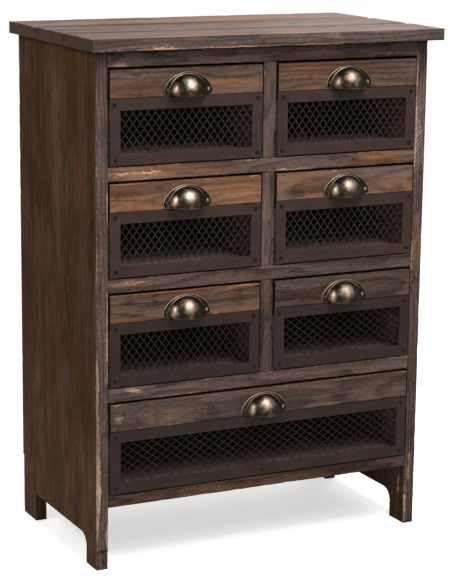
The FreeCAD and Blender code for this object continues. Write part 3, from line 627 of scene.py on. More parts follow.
def grown_shape(tree, settings, points=()):
    """Shape that a Geometry Nodes tree gives on some points, as a plain mesh's arrays."""
    seeds = bpy.data.meshes.new("points")
    seeds.from_pydata(list(points), [], [])
    host = bpy.data.objects.new("host", seeds)
    bpy.context.scene.collection.objects.link(host)
    modifier = host.modifiers.new("tree", "NODES")
    modifier.node_group = tree
    for item in tree.interface.items_tree:
        if item.in_out == "INPUT" and item.name in settings:
            modifier[item.identifier] = settings[item.name]
    evaluated = host.evaluated_get(bpy.context.evaluated_depsgraph_get())
    mesh = bpy.data.meshes.new_from_object(evaluated)
    host.modifiers.remove(modifier)
    bpy.data.objects.remove(host)
    places = np.array([vertex.co for vertex in mesh.vertices])
    faces = [list(face.vertices) for face in mesh.polygons]
    bpy.data.meshes.remove(mesh)
    return places, faces


def mesh_tree():
    """Expanded metal: a grid of cells with one strand slanting across each, this way and that in turn,
    inside an uncut rim."""
    tree, given, result = new_tree("expanded_mesh", {
        "Width": float, "Height": float, "Columns": int, "Rows": int, "Strand width": float,
        "Strand depth": float, "Tilt": float, "Rim": float})
    across = add(tree, MATH, (given["Width"], given["Columns"]), operation="DIVIDE")
    upward = add(tree, MATH, (given["Height"], given["Rows"]), operation="DIVIDE")
    wide = add(tree, MATH, (given["Width"], across), operation="SUBTRACT")
    high = add(tree, MATH, (given["Height"], upward), operation="SUBTRACT")
    standing = (math.pi / 2, 0, 0)
    cells = add(tree, "GeometryNodeMeshGrid", (wide, high, given["Columns"], given["Rows"]))
    cells = add(tree, TRANSFORM, {"Geometry": cells, "Rotation": standing})

    # Each cell's column and row say which way its strand leans
    index = add(tree, "GeometryNodeInputIndex")
    column = add(tree, MATH, (index, given["Rows"]), operation="DIVIDE")
    column = add(tree, MATH, (column,), operation="FLOOR")
    total = add(tree, MATH, (column, index), operation="ADD")
    shift = add(tree, MATH, (column, given["Rows"]), operation="MULTIPLY")
    total = add(tree, MATH, (total, shift), operation="SUBTRACT")
    odd = add(tree, MATH, (total, 2.0), operation="FLOORED_MODULO")
    sign = add(tree, MATH, (odd, -2.0, 1.0), operation="MULTIPLY_ADD")
    lean = add(tree, MATH, (across, upward), operation="ARCTAN2")
    lean = add(tree, MATH, (lean, sign), operation="MULTIPLY")
    turn = add(tree, COMBINE, {"Y": lean})
    turn = add(tree, TURN, (turn,))

    corner = add(tree, COMBINE, (across, upward))
    span = add(tree, VECTOR, (corner,), operation="LENGTH").outputs["Value"]
    span = add(tree, MATH, (span, given["Strand width"]), operation="ADD")
    size = add(tree, COMBINE, (given["Strand width"], given["Strand depth"], span))
    tilt = add(tree, COMBINE, {"Z": given["Tilt"]})
    bar = add(tree, "GeometryNodeMeshCube", {"Size": size})
    bar = add(tree, TRANSFORM, {"Geometry": bar, "Rotation": tilt})
    whole = add(tree, PLACE, {"Points": cells, "Instance": bar, "Rotation": turn})

    edge, section = [add(tree, "GeometryNodeCurvePrimitiveQuadrilateral", {"Width": run, "Height": rise})
                     for run, rise in ((given["Width"], given["Height"]),
                                       (given["Rim"], given["Strand depth"]))]
    rim = add(tree, "GeometryNodeCurveToMesh", {"Curve": edge, "Profile Curve": section})
    rim = add(tree, TRANSFORM, {"Geometry": rim, "Rotation": standing})
    whole = add(tree, "GeometryNodeJoinGeometry", {"Geometry": whole})
    plug(tree, whole, {"Geometry": rim})
    return end_tree(tree, whole, result, "steel_expanded_painted")


def head_tree():
    """Domed heads that face the front, with a cross recess, each turned by chance."""
    tree, given, result = new_tree("domed_heads", {
        "Seats": None, "Radius": float, "Height": float, "Recess": float, "Seed": int})
    ball = add(tree, "GeometryNodeMeshUVSphere", {"Segments": 16, "Rings": 12, "Radius": 1.0})
    place = add(tree, "GeometryNodeInputPosition")
    across, beside, upward = add(tree, SPLIT, (place,)).outputs

    # The recess follows four of the sixteen meridians, to a little over half the radius
    angle = add(tree, MATH, (beside, across), operation="ARCTAN2")
    angle = add(tree, MATH, (angle, 4.0), operation="MULTIPLY")
    arms = add(tree, MATH, (angle,), operation="COSINE")
    arms = add(tree, RANGE, (arms, 0.2, 1.0))
    flat = add(tree, COMBINE, (across, beside))
    away = add(tree, VECTOR, (flat,), operation="LENGTH").outputs["Value"]
    inner = add(tree, RANGE, (away, 0.4, 0.7, 1.0, 0.0))
    sunk = add(tree, MATH, (arms, inner), operation="MULTIPLY")
    sunk = add(tree, MATH, (sunk, given["Recess"]), operation="MULTIPLY")
    dome = add(tree, MATH, (upward, 0.0), operation="MAXIMUM")
    dome = add(tree, MATH, (dome, 0.6), operation="POWER")
    dome = add(tree, MATH, (dome, sunk), operation="SUBTRACT")
    dome = add(tree, COMBINE, (across, beside, dome))
    head = add(tree, "GeometryNodeSetPosition", {"Geometry": ball, "Position": dome})
    size = add(tree, COMBINE, (given["Radius"], given["Radius"], given["Height"]))
    head = add(tree, TRANSFORM, {"Geometry": head, "Scale": size})

    chance = add(tree, "FunctionNodeRandomValue", {3: 2 * math.pi, "Seed": given["Seed"]})
    turn = add(tree, COMBINE, {"X": math.pi / 2, "Y": chance})
    turn = add(tree, TURN, (turn,))
    heads = add(tree, PLACE, {"Points": given["Seats"], "Instance": head, "Rotation": turn})
    return end_tree(tree, heads, result, "steel_turned_blackened")


# How each visible board looks, from the photograph. A few of the darker and lighter patches are painted
# shade and light
LOOKS = {
    # The top planks are drawn lighter than the other boards, partly as painted sheen in place of the wax's
    # reflection
    "top_front_plank": dict(warm=0.35, light=0.5, worn=-0.1, patches=[
        (LIGHT, (0, -173, 794), (700, 5, 26), -0.97), (WARM, (0, -173, 794), (700, 5, 26), -1.8),
        (WORN, (0, -173, 805), (700, 5, 5), -0.6), (WORN, (-262, -173, 788), (35, 5, 2.5), 1.0),
        (WORN, (-185, -173, 789), (28, 5, 4.5), 1.5), (LIGHT, (-185, -173, 788), (50, 5, 4), 0.6),
        (WORN, (-90, -173, 788), (50, 5, 2.5), 1.2), (WORN, (50, -173, 788), (80, 5, 2.5), 1.1),
        (LIGHT, (-20, -173, 788), (180, 5, 2.5), 0.4), (LIGHT, (102, -173, 803), (9, 6, 6), 1.0),
        (LIGHT, (113, -173, 793), (9, 6, 6), 1.3), (LIGHT, (-165, -139, 806), (35, 9, 9), -0.5)]),
    "top_middle_plank": dict(warm=0.35, light=0.55, worn=-0.05, patches=[
        (LIGHT, (-200, -62, 806), (90, 6, 9), -0.5), (LIGHT, (30, 40, 806), (70, 6, 9), -0.3)]),
    "top_back_plank": dict(warm=0.4, light=0.6, worn=-0.05, patches=[
        (LIGHT, (-120, 66, 806), (110, 6, 9), -0.45)]),
    "left_side_front_plank": dict(warm=0.0, light=0.07, worn=-0.3, patches=[
        (WORN, (-260.5, -145, 545), (2.5, 3, 45), 1.3), (WORN, (-261, -145, 370), (3.5, 3, 45), 1.5),
        (WORN, (-279, -145, 600), (2, 3, 230), 0.3), (WORN, (-278.5, -145, 290), (2.8, 5, 65), 1.3),
        (WORN, (-277.5, -145, 190), (4, 5, 45), 1.4), (WORN, (-277, -145, 120), (5, 5, 40), 1.3),
        (WORN, (-278.5, -145, 60), (2, 5, 40), 1.0), (LIGHT, (-270, -145, 690), (14, 5, 110), 0.12),
        # The dark line 29 mm up is painted shadow under the step at the foot's front
        (LIGHT, (-270, -145, 29), (9, 4, 1.5), -0.7), (WORN, (-261.5, -145, 48), (4.5, 5, 18), 2.0),
        (WORN, (-266, -145, 260), (4, 3, 130), 0.6), (WARM, (-266, -145, 55), (5, 5, 25), 0.6),
        # The dark patch at 788 mm is painted shade under the top's overhang
        (LIGHT, (-270, -145, 10), (14, 5, 17), -0.15), (LIGHT, (-270, -145, 788), (14, 9, 8), -0.7),
        (LIGHT, (-279, -98, 735), (6, 14, 70), 0.15), (WARM, (-279, -90, 590), (6, 40, 90), 0.6),
        # Painted light: the lower side is lighter and less warm, as if lit by light thrown back from the
        # floor
        (LIGHT, (-279, -100, 60), (6, 90, 200), 0.35), (WARM, (-279, -100, 60), (6, 90, 160), -0.3),
        (LIGHT, (-279, -130, 20), (6, 40, 60), -0.2)]),
    "left_side_middle_plank": dict(warm=-0.08, light=0.1, worn=-0.3, patches=[
        (LIGHT, (-279, 15, 680), (8, 22, 120), 0.4), (LIGHT, (-279, 20, 450), (8, 25, 110), 0.1),
        # Painted light: lighter and less warm near the floor, as if lit by light thrown back from it
        (LIGHT, (-279, 0, 60), (6, 90, 200), 0.45), (WARM, (-279, 0, 60), (6, 90, 160), -0.3)]),
    "left_side_back_plank": dict(warm=0.05, light=0.08, worn=-0.25, patches=[
        # Painted light: lighter and less warm near the floor, as if lit by light thrown back from it
        (LIGHT, (-279, 120, 60), (6, 90, 200), 0.5), (WARM, (-279, 120, 60), (6, 90, 160), -0.3)]),
    "right_side_front_plank": dict(warm=0.0, worn=-0.25, patches=[
        (LIGHT, (268, -145, 130), (20, 9, 240), -0.13), (LIGHT, (268, -145, 640), (20, 9, 70), 0.35),
        (WORN, (261, -145, 740), (3, 9, 30), 1.3), (WORN, (261, -145, 640), (3.5, 9, 70), 0.9),
        # The dark patch at 788 mm is painted shade under the top's overhang
        (WORN, (261, -145, 450), (3.5, 9, 60), 0.6), (LIGHT, (270, -145, 788), (14, 9, 8), -0.7),
        (SAWN, (267, -145, 640), (14, 9, 55), 1.1), (SAWN, (267, -145, 470), (14, 9, 45), 0.9),
        (WARM, (267, -145, 470), (14, 9, 50), 0.6), (LIGHT, (258, -115, 50), (5, 40, 60), 0.4),
        (WORN, (258, -127, 50), (5, 7, 50), 1.0), (WARM, (258, -115, 50), (5, 40, 60), -0.5),
        (WORN, (268, -145, 95), (5, 9, 35), 1.1), (WORN, (264, -145, 25), (4, 9, 26), 1.0)]),
    "right_side_middle_plank": dict(warm=0.05, worn=-0.3),
    "right_side_back_plank": dict(warm=0.0, light=-0.04, worn=-0.25),
    "top_rail": dict(warm=-0.5, light=0.14, worn=-0.1, patches=[
        (WORN, (-245, -145, 766), (18, 9, 4), 0.8), (WORN, (200, -145, 768), (50, 9, 3), 0.5),
        # Painted shade: a dark band along the top edge under the top's overhang, and a dark line along the
        # lower edge as painted shadow in the gap above the right drawer of the first row
        (LIGHT, (0, -145, 788), (700, 9, 5), -0.95), (LIGHT, (137, -145, 763), (130, 9, 1.8), -0.8)]),
    "upper_rail": dict(warm=0.2, light=0.1, patches=[
        (WARM, (-180, -145, 610), (100, 9, 14), 0.4), (LIGHT, (-190, -145, 610), (100, 9, 14), 0.68),
        (WORN, (-205, -145, 608), (60, 9, 9), 0.3), (WARM, (195, -145, 607), (60, 9, 14), 0.8),
        (LIGHT, (215, -145, 608), (55, 9, 12), 0.3), (WORN, (45, -145, 598), (35, 9, 4), 0.5),
        (LIGHT, (156, -145, 606), (10, 9, 20), -0.35)]),
    "middle_rail": dict(warm=0.05, patches=[
        (WORN, (-222, -145, 442), (40, 9, 6), 0.4), (WARM, (-222, -145, 442), (40, 9, 8), 0.6)]),
    "lower_rail": dict(warm=0.0, light=0.17, patches=[
        (WORN, (-222, -145, 279), (38, 9, 7), 0.45), (LIGHT, (-247, -145, 281), (5, 9, 3), 0.9)]),
    "bottom_rail": dict(warm=0.35, light=-0.28, worn=-0.1, patches=[
        (SAWN, (-103, -145, 118), (85, 9, 20), 0.8)]),
    "centre_stiles": dict(warm=0.05, light=0.05, worn=-0.15, patches=[
        (LIGHT, (13, -145, 645), (3, 9, 12), -0.6), (LIGHT, (4, -145, 340), (20, 9, 90), -0.3),
        (LIGHT, (4, -145, 510), (20, 9, 60), 0.4)]),
    "row1_left_front": dict(warm=0.26, light=0.17, worn=-0.1, patches=[
        (WARM, (-139, -147, 732), (140, 9, 7), 0.2), (WARM, (-55, -147, 735.5), (60, 9, 4), 0.8),
        (LIGHT, (-45, -147, 736), (50, 9, 3), 0.7), (KNOT, (-218, -147, 751), (4, 9, 2.5), 1.0)]),
    "row1_right_front": dict(warm=0.5, light=0.05, worn=-0.15, patches=[
        (WORN, (63, -147, 736), (45, 9, 3), 0.7), (LIGHT, (215, -147, 738), (50, 9, 25), -0.12),
        (WARM, (215, -147, 738), (50, 9, 25), -0.1)]),
    "row2_left_front": dict(warm=0.88, light=0.42, worn=-0.1, patches=[
        (WARM, (-194, -147, 581), (30, 9, 9), -0.6)]),
    "row2_right_front": dict(warm=0.6, light=0.27, worn=-0.15, patches=[
        (WARM, (185, -147, 586), (70, 9, 10), -0.8)]),
    "row3_left_front": dict(warm=0.33, light=0.07, worn=-0.1, patches=[
        (WARM, (-134, -147, 424), (125, 9, 4), 0.8), (WARM, (-134, -147, 385), (125, 9, 5), 0.8)]),
    "row3_right_front": dict(warm=0.15, light=-0.1, worn=-0.15, patches=[
        (WARM, (125, -147, 406), (90, 9, 4), 0.9), (WORN, (32, -147, 388), (5, 9, 3), 0.9)]),
    "wide_front": dict(warm=0.22, light=0.03, worn=-0.1, patches=[
        (WORN, (-245, -147, 238), (9, 9, 20), 0.8), (WARM, (-172, -147, 232), (36, 9, 9), 0.5),
        (LIGHT, (-172, -147, 232), (34, 9, 7), 0.35), (WARM, (190, -147, 236), (80, 9, 14), -0.2),
        (KNOT, (-200, -147, 233), (9, 9, 5), 0.4), (LIGHT, (-172, -147, 247), (60, 9, 5), -0.15)]),
}


def with_patches(node, *patches):
    """Look of a board with more patches."""
    look = LOOKS[node]
    return {**look, "patches": [*look.get("patches", ()), *patches]}


# Which edges of a plank meet another plank: 0 is its nearer edge and 1 its further one
JOINTS = {"front": (1,), "middle": (0, 1), "back": (0,)}


def seam_places(node, joints):
    """Depths in millimetres at which a plank meets its neighbours."""
    low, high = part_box(node)
    return [(low.y + joint * (high.y - low.y)) / MM for joint in joints]


def foot_outline(node):
    """Outline of a side plank, with its foot below: height, then depth from the plank's front."""
    low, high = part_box(node)
    height, depth = high.z - low.z, high.y - low.y
    notch, front_foot, back_foot, radius = 45 * MM, 44 * MM, 54.5 * MM, 20 * MM
    chip_depth, chip_height, chip_top = 2.5 * MM, 28 * MM, 29 * MM
    if "front" in node:
        bend = [(notch - radius * (1 - math.sin(turn)), front_foot + radius * (1 - math.cos(turn)))
                for turn in np.linspace(0, math.pi / 2, 8)]
        toe = [(0, 0)]
        if "left" in node:
            toe = [(0, chip_depth), (chip_height, chip_depth), (chip_top, 0)]
        return toe + [(height, 0), (height, depth), (notch, depth)] + bend[::-1] + [(0, front_foot)]
    if "back" in node:
        step = depth - back_foot
        return [(notch, 0), (height, 0), (height, depth), (0, depth), (0, step), (notch, step)]
    return None


class CHEST_OT_top(bpy.types.Operator):
    """Make the three planks of the top, crowned between their joints and faintly streaked"""
    bl_idname = "chest.top"
    bl_label = "Top planks"

    def execute(self, context):
        for place, joints in JOINTS.items():
            node = f"top_{place}_plank"
            low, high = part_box(node)
            face = high.z / MM
            chance = random.Random(f"{node} streaks {context.scene.chest_sizes.seed}")
            streaks = []
            for _ in range(18):
                middle = (chance.uniform(low.x, high.x) / MM, chance.uniform(low.y, high.y) / MM, face)
                reach = (chance.uniform(60, 200), chance.uniform(7, 12), 9)
                streaks.append((LIGHT, middle, reach, chance.uniform(-0.45, 0.3)))
            seams = [(LIGHT, (0, seam, face), (700, 7, 9), -0.9) for seam in seam_places(node, joints)]
            board = Board(node, (low, high), X, Y, crown=joints, arris=0.6, coarse=(1.2, 1.8),
                          **with_patches(node, *streaks, *seams))
            make_piece(f"top_{place}_board", [board.shape()], "fir_sanded_waxed", node)
        return {"FINISHED"}


class CHEST_OT_sides(bpy.types.Operator):
    """Make the upright planks of both sides, with their feet"""
    bl_idname = "chest.sides"
    bl_label = "Side planks"

    def execute(self, context):
        for side in ("left", "right"):
            for place, joints in JOINTS.items():
                node = f"{side}_side_{place}_plank"
                seams = seam_places(node, joints)
                look = with_patches(node, *((WORN, (0, seam, 450), (900, 3, 700), -0.35) for seam in seams),
                                    *((LIGHT, (0, seam, 450), (900, 2, 700), -0.25) for seam in seams))
                board = Board(node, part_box(node), Z, Y, outline=foot_outline(node), arris=0.35,
                              coarse=(0.8, 1.6), brown=3 * MM if place == "front" else -1, **look)
                make_piece(f"{side}_side_{place}_board", [board.shape()], "fir_sawn_stained",
                           node)
        return {"FINISHED"}


class CHEST_OT_face(bpy.types.Operator):
    """Make the rails and the centre stiles of the front"""
    bl_idname = "chest.face"
    bl_label = "Rails and stiles"

    def execute(self, context):
        rails = [rail + "_rail" for rail in ("top", "upper", "middle", "lower", "bottom")]
        for node in rails:
            board = Board(node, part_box(node), X, Z, **LOOKS[node])
            make_piece(node + "_board", [board.shape()], "fir_sawn_stained", node)
        low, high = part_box("centre_stiles")
        shapes = []
        for above, below in zip(rails[:3], rails[1:4]):
            upward = (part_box(below)[1].z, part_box(above)[0].z)
            stile = Board(f"centre stile {len(shapes)}", box_of((low.x, high.x), (low.y, high.y), upward),
                          Z, X, **LOOKS["centre_stiles"])
            shapes.append(stile.shape())
        make_piece("centre_stile_boards", shapes, "fir_sawn_stained", "centre_stiles")
        return {"FINISHED"}


class CHEST_OT_inside(bpy.types.Operator):
    """Make the runners, the guides between the drawers and the back panel"""
    bl_idname = "chest.inside"
    bl_label = "Runners and back panel"

    def execute(self, context):
        runner_height, guide_height, runner_width, ledge, gap = 18 * MM, 12 * MM, 14 * MM, 14 * MM, 2 * MM
        rows = ["row1_left", "row2_left", "row3_left", "wide"]
        tops = [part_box(drawer + "_frame")[0].z - gap for drawer in rows]
        low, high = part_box("side_runners")
        boards = []
        for top in tops:
            for across in ((low.x, low.x + runner_width), (high.x - runner_width, high.x)):
                box = box_of(across, (low.y, high.y), (top - runner_height, top))
                boards.append(Board(f"runner {len(boards)}", box, Y, Z, fine=False))
        make_piece("side_runner_boards", [board.shape() for board in boards], "softwood_planed_stained",
                   "side_runners")
        low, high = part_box("centre_runners")
        boards = []
        for top in tops[:3]:
            deep = (low.y, high.y)
            runner = box_of((low.x, high.x), deep, (top - runner_height, top))
            boards.append(Board(f"runner {len(boards)}", runner, Y, X, fine=False))
            guide = box_of((low.x + ledge, high.x - ledge), deep, (top, top + guide_height))
            boards.append(Board(f"guide {len(boards)}", guide, Y, X, fine=False))
        make_piece("centre_runner_boards", [board.shape() for board in boards], "softwood_planed_stained",
                   "centre_runners")
        panel = Board("back_panel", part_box("back_panel"), Z, X, warm=0.3)
        make_piece("back_panel_sheet", [panel.shape()], "plywood_peeled_stained",
                   "back_panel")
        return {"FINISHED"}


class CHEST_OT_fronts(bpy.types.Operator):
    """Make the wooden strip of each drawer front, with the lip behind its frame"""
    bl_idname = "chest.fronts"
    bl_label = "Drawer strips"

    def execute(self, context):
        for drawer in DRAWERS:
            node = drawer + "_front"
            low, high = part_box(node)
            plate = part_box(drawer + "_frame")[1]
            face, seam = low.y / MM, plate.z / MM
            # Painted shadow and highlight: a dark line where the strip meets the frame, and a light line
            # just above it on the strip's arris
            look = with_patches(node, (LIGHT, (0, face, seam), (700, 9, 1.3), -0.6),
                                (LIGHT, (0, face, seam + 3), (700, 9, 1.5), 0.15))
            strip = Board(node, box_of((low.x, high.x), (low.y, high.y), (plate.z, high.z)), X, Z,
                          coarse=(1.3, 1.5), **look)
            lip = Board(node + " lip", box_of((low.x, high.x), (plate.y, high.y), (low.z, plate.z)), X, Z,
                        fine=False)
            make_piece(drawer + "_strip", [strip.shape(), lip.shape()], "fir_sawn_stained",
                       node, drawer + "_drawer")
        return {"FINISHED"}


class CHEST_OT_boxes(bpy.types.Operator):
    """Make the boards of each drawer box"""
    bl_idname = "chest.boxes"
    bl_label = "Drawer boxes"

    def execute(self, context):
        side, back, batten, groove = 12 * MM, 10 * MM, 12 * MM, 4 * MM
        for drawer in DRAWERS:
            node = drawer + "_box"
            low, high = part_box(node)
            strip_low, strip_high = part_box(drawer + "_front")
            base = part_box(drawer + "_frame")[0].z
            floor = (base + 4 * MM, base + 8 * MM)
            depth, height = high.y - low.y, high.z - low.z
            step, lip = strip_high.y - low.y, strip_low.z - low.z
            outline = [(0, 0), (depth, 0), (depth, height), (step, height), (step, lip), (0, lip)]
            left, right = low.x + side, high.x - side
            whole = ((low.y, high.y), (low.z, high.z))
            plan = {
                "left": (box_of((low.x, left), *whole), Y, Z, -0.45, outline),
                "right": (box_of((right, high.x), *whole), Y, Z, -0.45, outline),
                "back": (box_of((left, right), (high.y - back, high.y), (floor[1], high.z)), X, Z, -0.45),
                # The bottoms of the lower drawers are drawn darker as painted shade
                "bottom": (box_of((left - groove, right + groove), (low.y + batten, high.y), floor), X, Y,
                           -0.25 if drawer in SHADED_DRAWERS else 0.12),
                "batten": (box_of((left, right), (low.y, low.y + batten), (base, base + batten)), X, Z, 0.0),
            }
            shapes = [Board(f"{node} {part}", box, along, across, *cut, fine=False, light=light).shape()
                      for part, (box, along, across, light, *cut) in plan.items()]
            make_piece(drawer + "_box_boards", shapes, "softwood_planed_stained", node,
                       drawer + "_drawer")
        return {"FINISHED"}


# Cross-section of a frame member: from its outer edge inwards, and out from the wood, in millimetres
FRAME_SECTION = [(0.4, 0), (0.4, 1.3), (0.55, 1.75), (0.95, 2), (2.2, 2), (8.5, 2), (15.2, 2), (16.5, 2),
                 (16.85, 1.8), (17, 1.4), (17, 0)]


class CHEST_OT_frames(bpy.types.Operator):
    """Make the flat metal frames round the mesh, with their eased edges"""
    bl_idname = "chest.frames"
    bl_label = "Mesh frames"

    def execute(self, context):
        member = FRAME_SECTION[-1][0]
        edges = [min(inward, member - inward) * MM for inward, out in FRAME_SECTION] * 4
        for drawer in DRAWERS:
            node = drawer + "_frame"
            low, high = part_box(node)
            corners = [(low.x, low.z, 1, 1), (high.x, low.z, -1, 1), (high.x, high.z, -1, -1),
                       (low.x, high.z, 1, -1)]
            rows = np.array([[(x + right * inward * MM, high.y - out * MM, z + upward * inward * MM)
                              for inward, out in FRAME_SECTION] for x, z, right, upward in corners])
            # The lower drawers' frames are darkened as painted shade
            values = {"edge": edges, "dirt": [0.35 if drawer in SHADED_DRAWERS else 0.0] * len(edges)}
            shape = clean_shape(rows.reshape(-1, 3), sweep(rows, True), values)
            make_piece(drawer + "_plate", [shape], "steel_sheet_painted", node,
                       drawer + "_drawer")
        return {"FINISHED"}


# Pitch of each drawer's mesh across and up in millimetres, and the way its strands are twisted
LATTICES = {
    "row1_left": (12, 16, 0.5), "row1_right": (12, 16, 0.5), "row2_left": (12, 16, -1.0),
    "row2_right": (12, 16, 0.5), "row3_left": (12, 16, 0.7), "row3_right": (16, 12, 1.0),
    "wide": (16, 12, 0.9),
}


class CHEST_OT_meshes(bpy.types.Operator):
    """Make the expanded metal behind the frames"""
    bl_idname = "chest.meshes"
    bl_label = "Expanded mesh"

    def execute(self, context):
        sizes = context.scene.chest_sizes
        tree = mesh_tree()
        for drawer, (pitch_across, pitch_up, twist) in LATTICES.items():
            node = drawer + "_mesh"
            low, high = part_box(node)
            width = high.x - low.x - sizes.rim
            height = high.z - low.z - sizes.rim
            places, faces = grown_shape(tree, {
                "Width": width, "Height": height, "Columns": round(width / (pitch_across * MM / 2)),
                "Rows": round(height / (pitch_up * MM / 2)), "Strand width": sizes.strand,
                "Strand depth": sizes.strand_depth, "Tilt": sizes.tilt * twist, "Rim": sizes.rim})
            # The lower drawers' mesh is darkened as painted shade
            shape = (places + np.array((low + high) / 2), faces,
                     {"dirt": np.full(len(places), 0.4 if drawer in SHADED_DRAWERS else 0.0)})
            make_piece(drawer + "_expanded", [shape], "steel_expanded_painted", node,
                       drawer + "_drawer")
        return {"FINISHED"}


# Half sizes of a pull in millimetres: its flange, the outside and the inside of its cup
FLANGE, CUP, HOLLOW = (40.5, 33.2, 0), (30.5, 30, 25.5), (28.9, 28.4, 23.9)

# Bead and channel of the flange: in from its rim, out from the wood, and how much it is rubbed
FLANGE_BEAD = [(0, 0, 0.3), (0, 0.9, 0.5), (0.25, 1.55, 0.8), (0.8, 2, 1), (1.4, 1.6, 0.6),
               (1.8, 1, 0.3), (2.3, 0.85, 0.25)]

# Foot of the cup: back from the cup, out from the wood, and how much it is rubbed
CUP_FOOT = [(1.7, 0.85, 0.2), (1.0, 1.25, 0.6), (0.5, 1.4, 0.85), (0.1, 1.3, 0.4)]


def pull_shape(middle, base, face):
    """Cup pull: a beaded flange round a quarter-turned cup that is open below. It is rubbed a little
    on its lip. It is brightest on the middle and the left of the cup and on the upper left of the
    flange: partly rubbing by hands, partly painted highlight where the lamps' reflections fall."""
    corner = 5.0
    start = math.asin(corner / FLANGE[1])
    side = FLANGE[0] * math.cos(start) - corner
    right = [(CUP[0] + 2, 0.0), (side, 0.0)]
    right += [(side + corner * math.sin(turn), corner * (1 - math.cos(turn)))
              for turn in np.linspace(0.3, math.pi / 2, 5)]
    right += [(FLANGE[0] * math.cos(turn), FLANGE[1] * math.sin(turn))
              for turn in np.linspace(start, math.pi / 2, 30)[1:]]
    rows = []
    for x, z in right + [(-x, z) for x, z in right[-2::-1]]:
        turn = math.atan2(z / FLANGE[1], x / FLANGE[0])
        cos, sin = math.cos(turn), math.sin(turn)
        cup = np.array([CUP[0] * cos, CUP[1] * sin])
        away = cup - (x, z)
        reach = np.linalg.norm(away)
        away = away / reach
        scale = min(1.0, reach / 6)
        # Rubbed more at the top and on the left of the flange: partly hands, partly painted highlight on the
        # lit left of the bead
        held_and_highlight = (0.35 + 0.65 * sin) * (1 - 0.3 * cos)
        row = [(x + away[0] * inward * scale, out, z + away[1] * inward * scale, rub * held_and_highlight)
               for inward, out, rub in FLANGE_BEAD]
        row += [(cup[0] - away[0] * back * scale, out, cup[1] - away[1] * back * scale, rub * held_and_highlight)
                for back, out, rub in CUP_FOOT]
        for share in np.linspace(0, 1, 20):
            tip = share * math.pi / 2
            # Bright brass in a broad spot on the middle of the cup and a narrow one on its left, where the
            # lamps' highlights fall: painted highlight, partly also rubbing
            middle_rub_and_highlight = math.exp(-((cos + 0.08) / 0.38) ** 2 - ((share - 0.54) / 0.34) ** 2)
            left_rub_and_highlight = math.exp(-((cos + 0.86) / 0.14) ** 2 - ((share - 0.5) / 0.36) ** 2)
            lip = max(0.0, share - 0.94) / 0.06
            row.append((cup[0], max((CUP[2] + 0.9 * lip) * sin * math.sin(tip), 0.85),
                        CUP[1] * sin * math.cos(tip), 0.07 + 0.55 * middle_rub_and_highlight + left_rub_and_highlight + 0.1 * lip))
        row.append((cup[0] * 0.99, CUP[2] * sin + 0.9, -0.5 * sin, 0.4))
        row.append((cup[0] * 0.98, CUP[2] * sin + 0.1, -0.9 * sin, 0.3))
        for tip in np.linspace(math.pi / 2, 0, 9):
            row.append((HOLLOW[0] * cos, HOLLOW[2] * sin * math.sin(tip), HOLLOW[1] * sin * math.cos(tip),
                        0.0))
        rows.append(row)
    rows = np.array(rows)
    places = (middle, face, base) + rows[..., :3] * (MM, -MM, MM)
    return clean_shape(places.reshape(-1, 3), sweep(places, False), {"rub": rows[..., 3].ravel()})


class CHEST_OT_pulls(bpy.types.Operator):
    """Make the cup pulls"""
    bl_idname = "chest.pulls"
    bl_label = "Cup pulls"

    def execute(self, context):
        lift = 3 * MM
        for drawer in DRAWERS:
            node = drawer + "_pull"
            low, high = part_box(node)
            shape = pull_shape((low.x + high.x) / 2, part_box(drawer + "_frame")[1].z + lift,
                               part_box(drawer + "_front")[0].y)
            make_piece(drawer + "_cup_pull", [shape], "brass_pressed_antiqued", node,
                       drawer + "_drawer")
        return {"FINISHED"}


class CHEST_OT_fasteners(bpy.types.Operator):
    """Make the heads of the screws and nails"""
    bl_idname = "chest.fasteners"
    bl_label = "Screws and nails"

    def execute(self, context):
        tree = head_tree()
        seed = context.scene.chest_sizes.seed
        inset, nail_inset, nail_pitch = 8.5 * MM, 5.5 * MM, 9.5 * MM
        pull_half, pull_height, pull_flange = 33 * MM, 10 * MM, 0.85 * MM
        for count, drawer in enumerate(DRAWERS):
            low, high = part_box(drawer + "_frame")
            strip_low, strip_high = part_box(drawer + "_front")
            middle = sum(corner.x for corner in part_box(drawer + "_pull")) / 2
            columns = [low.x + inset, high.x - inset]
            if drawer == "wide":
                columns.append((low.x + high.x) / 2)
            chance = random.Random(f"{drawer} heads {seed}")
            plate = [(x + chance.uniform(-1.2, 1.2) * MM, low.y, z + chance.uniform(-0.8, 0.8) * MM)
                     for x in columns for z in (low.z + inset, high.z - inset)]
            left, right = [(middle + way * pull_half, low.y - pull_flange, high.z + pull_height)
                           for way in (-1, 1)]
            nails = [(x, low.y, high.z + row * nail_pitch) for row in (1, 2, 3)
                     for x in (strip_low.x + nail_inset, strip_high.x - nail_inset)]

            # Seats of each kind, then the radius, height, recess and rub of its heads. The right pull
            # screw's higher rub is a painted glint
            kinds = [(plate, 3.4, 1.1, 0.6, 0.0), ([left], 2.8, 2.2, 0.4, 0.2),
                     ([right], 2.8, 2.2, 0.4, 0.9), (nails, 1.1, 0.35, 0.0, 0.12)]
            shapes = []
            for seats, radius, height, recess, rub in kinds:
                places, faces = grown_shape(tree, {"Radius": radius * MM, "Height": height * MM,
                                                   "Recess": recess, "Seed": seed + count}, seats)
                shapes.append((places, faces, {"rub": np.full(len(places), rub)}))
            make_piece(drawer + "_heads", shapes, "steel_turned_blackened",
                       drawer + "_fasteners", drawer + "_drawer")
        return {"FINISHED"}


def seen_directly(tree):
    """Fraction that is 1 for camera, glossy and transmission rays."""
    path = add(tree, "ShaderNodeLightPath").outputs
    some = add(tree, MATH, (path["Is Camera Ray"], path["Is Glossy Ray"]), operation="ADD")
    return add(tree, MATH, (some, path["Is Transmission Ray"]), operation="ADD", use_clamp=True)


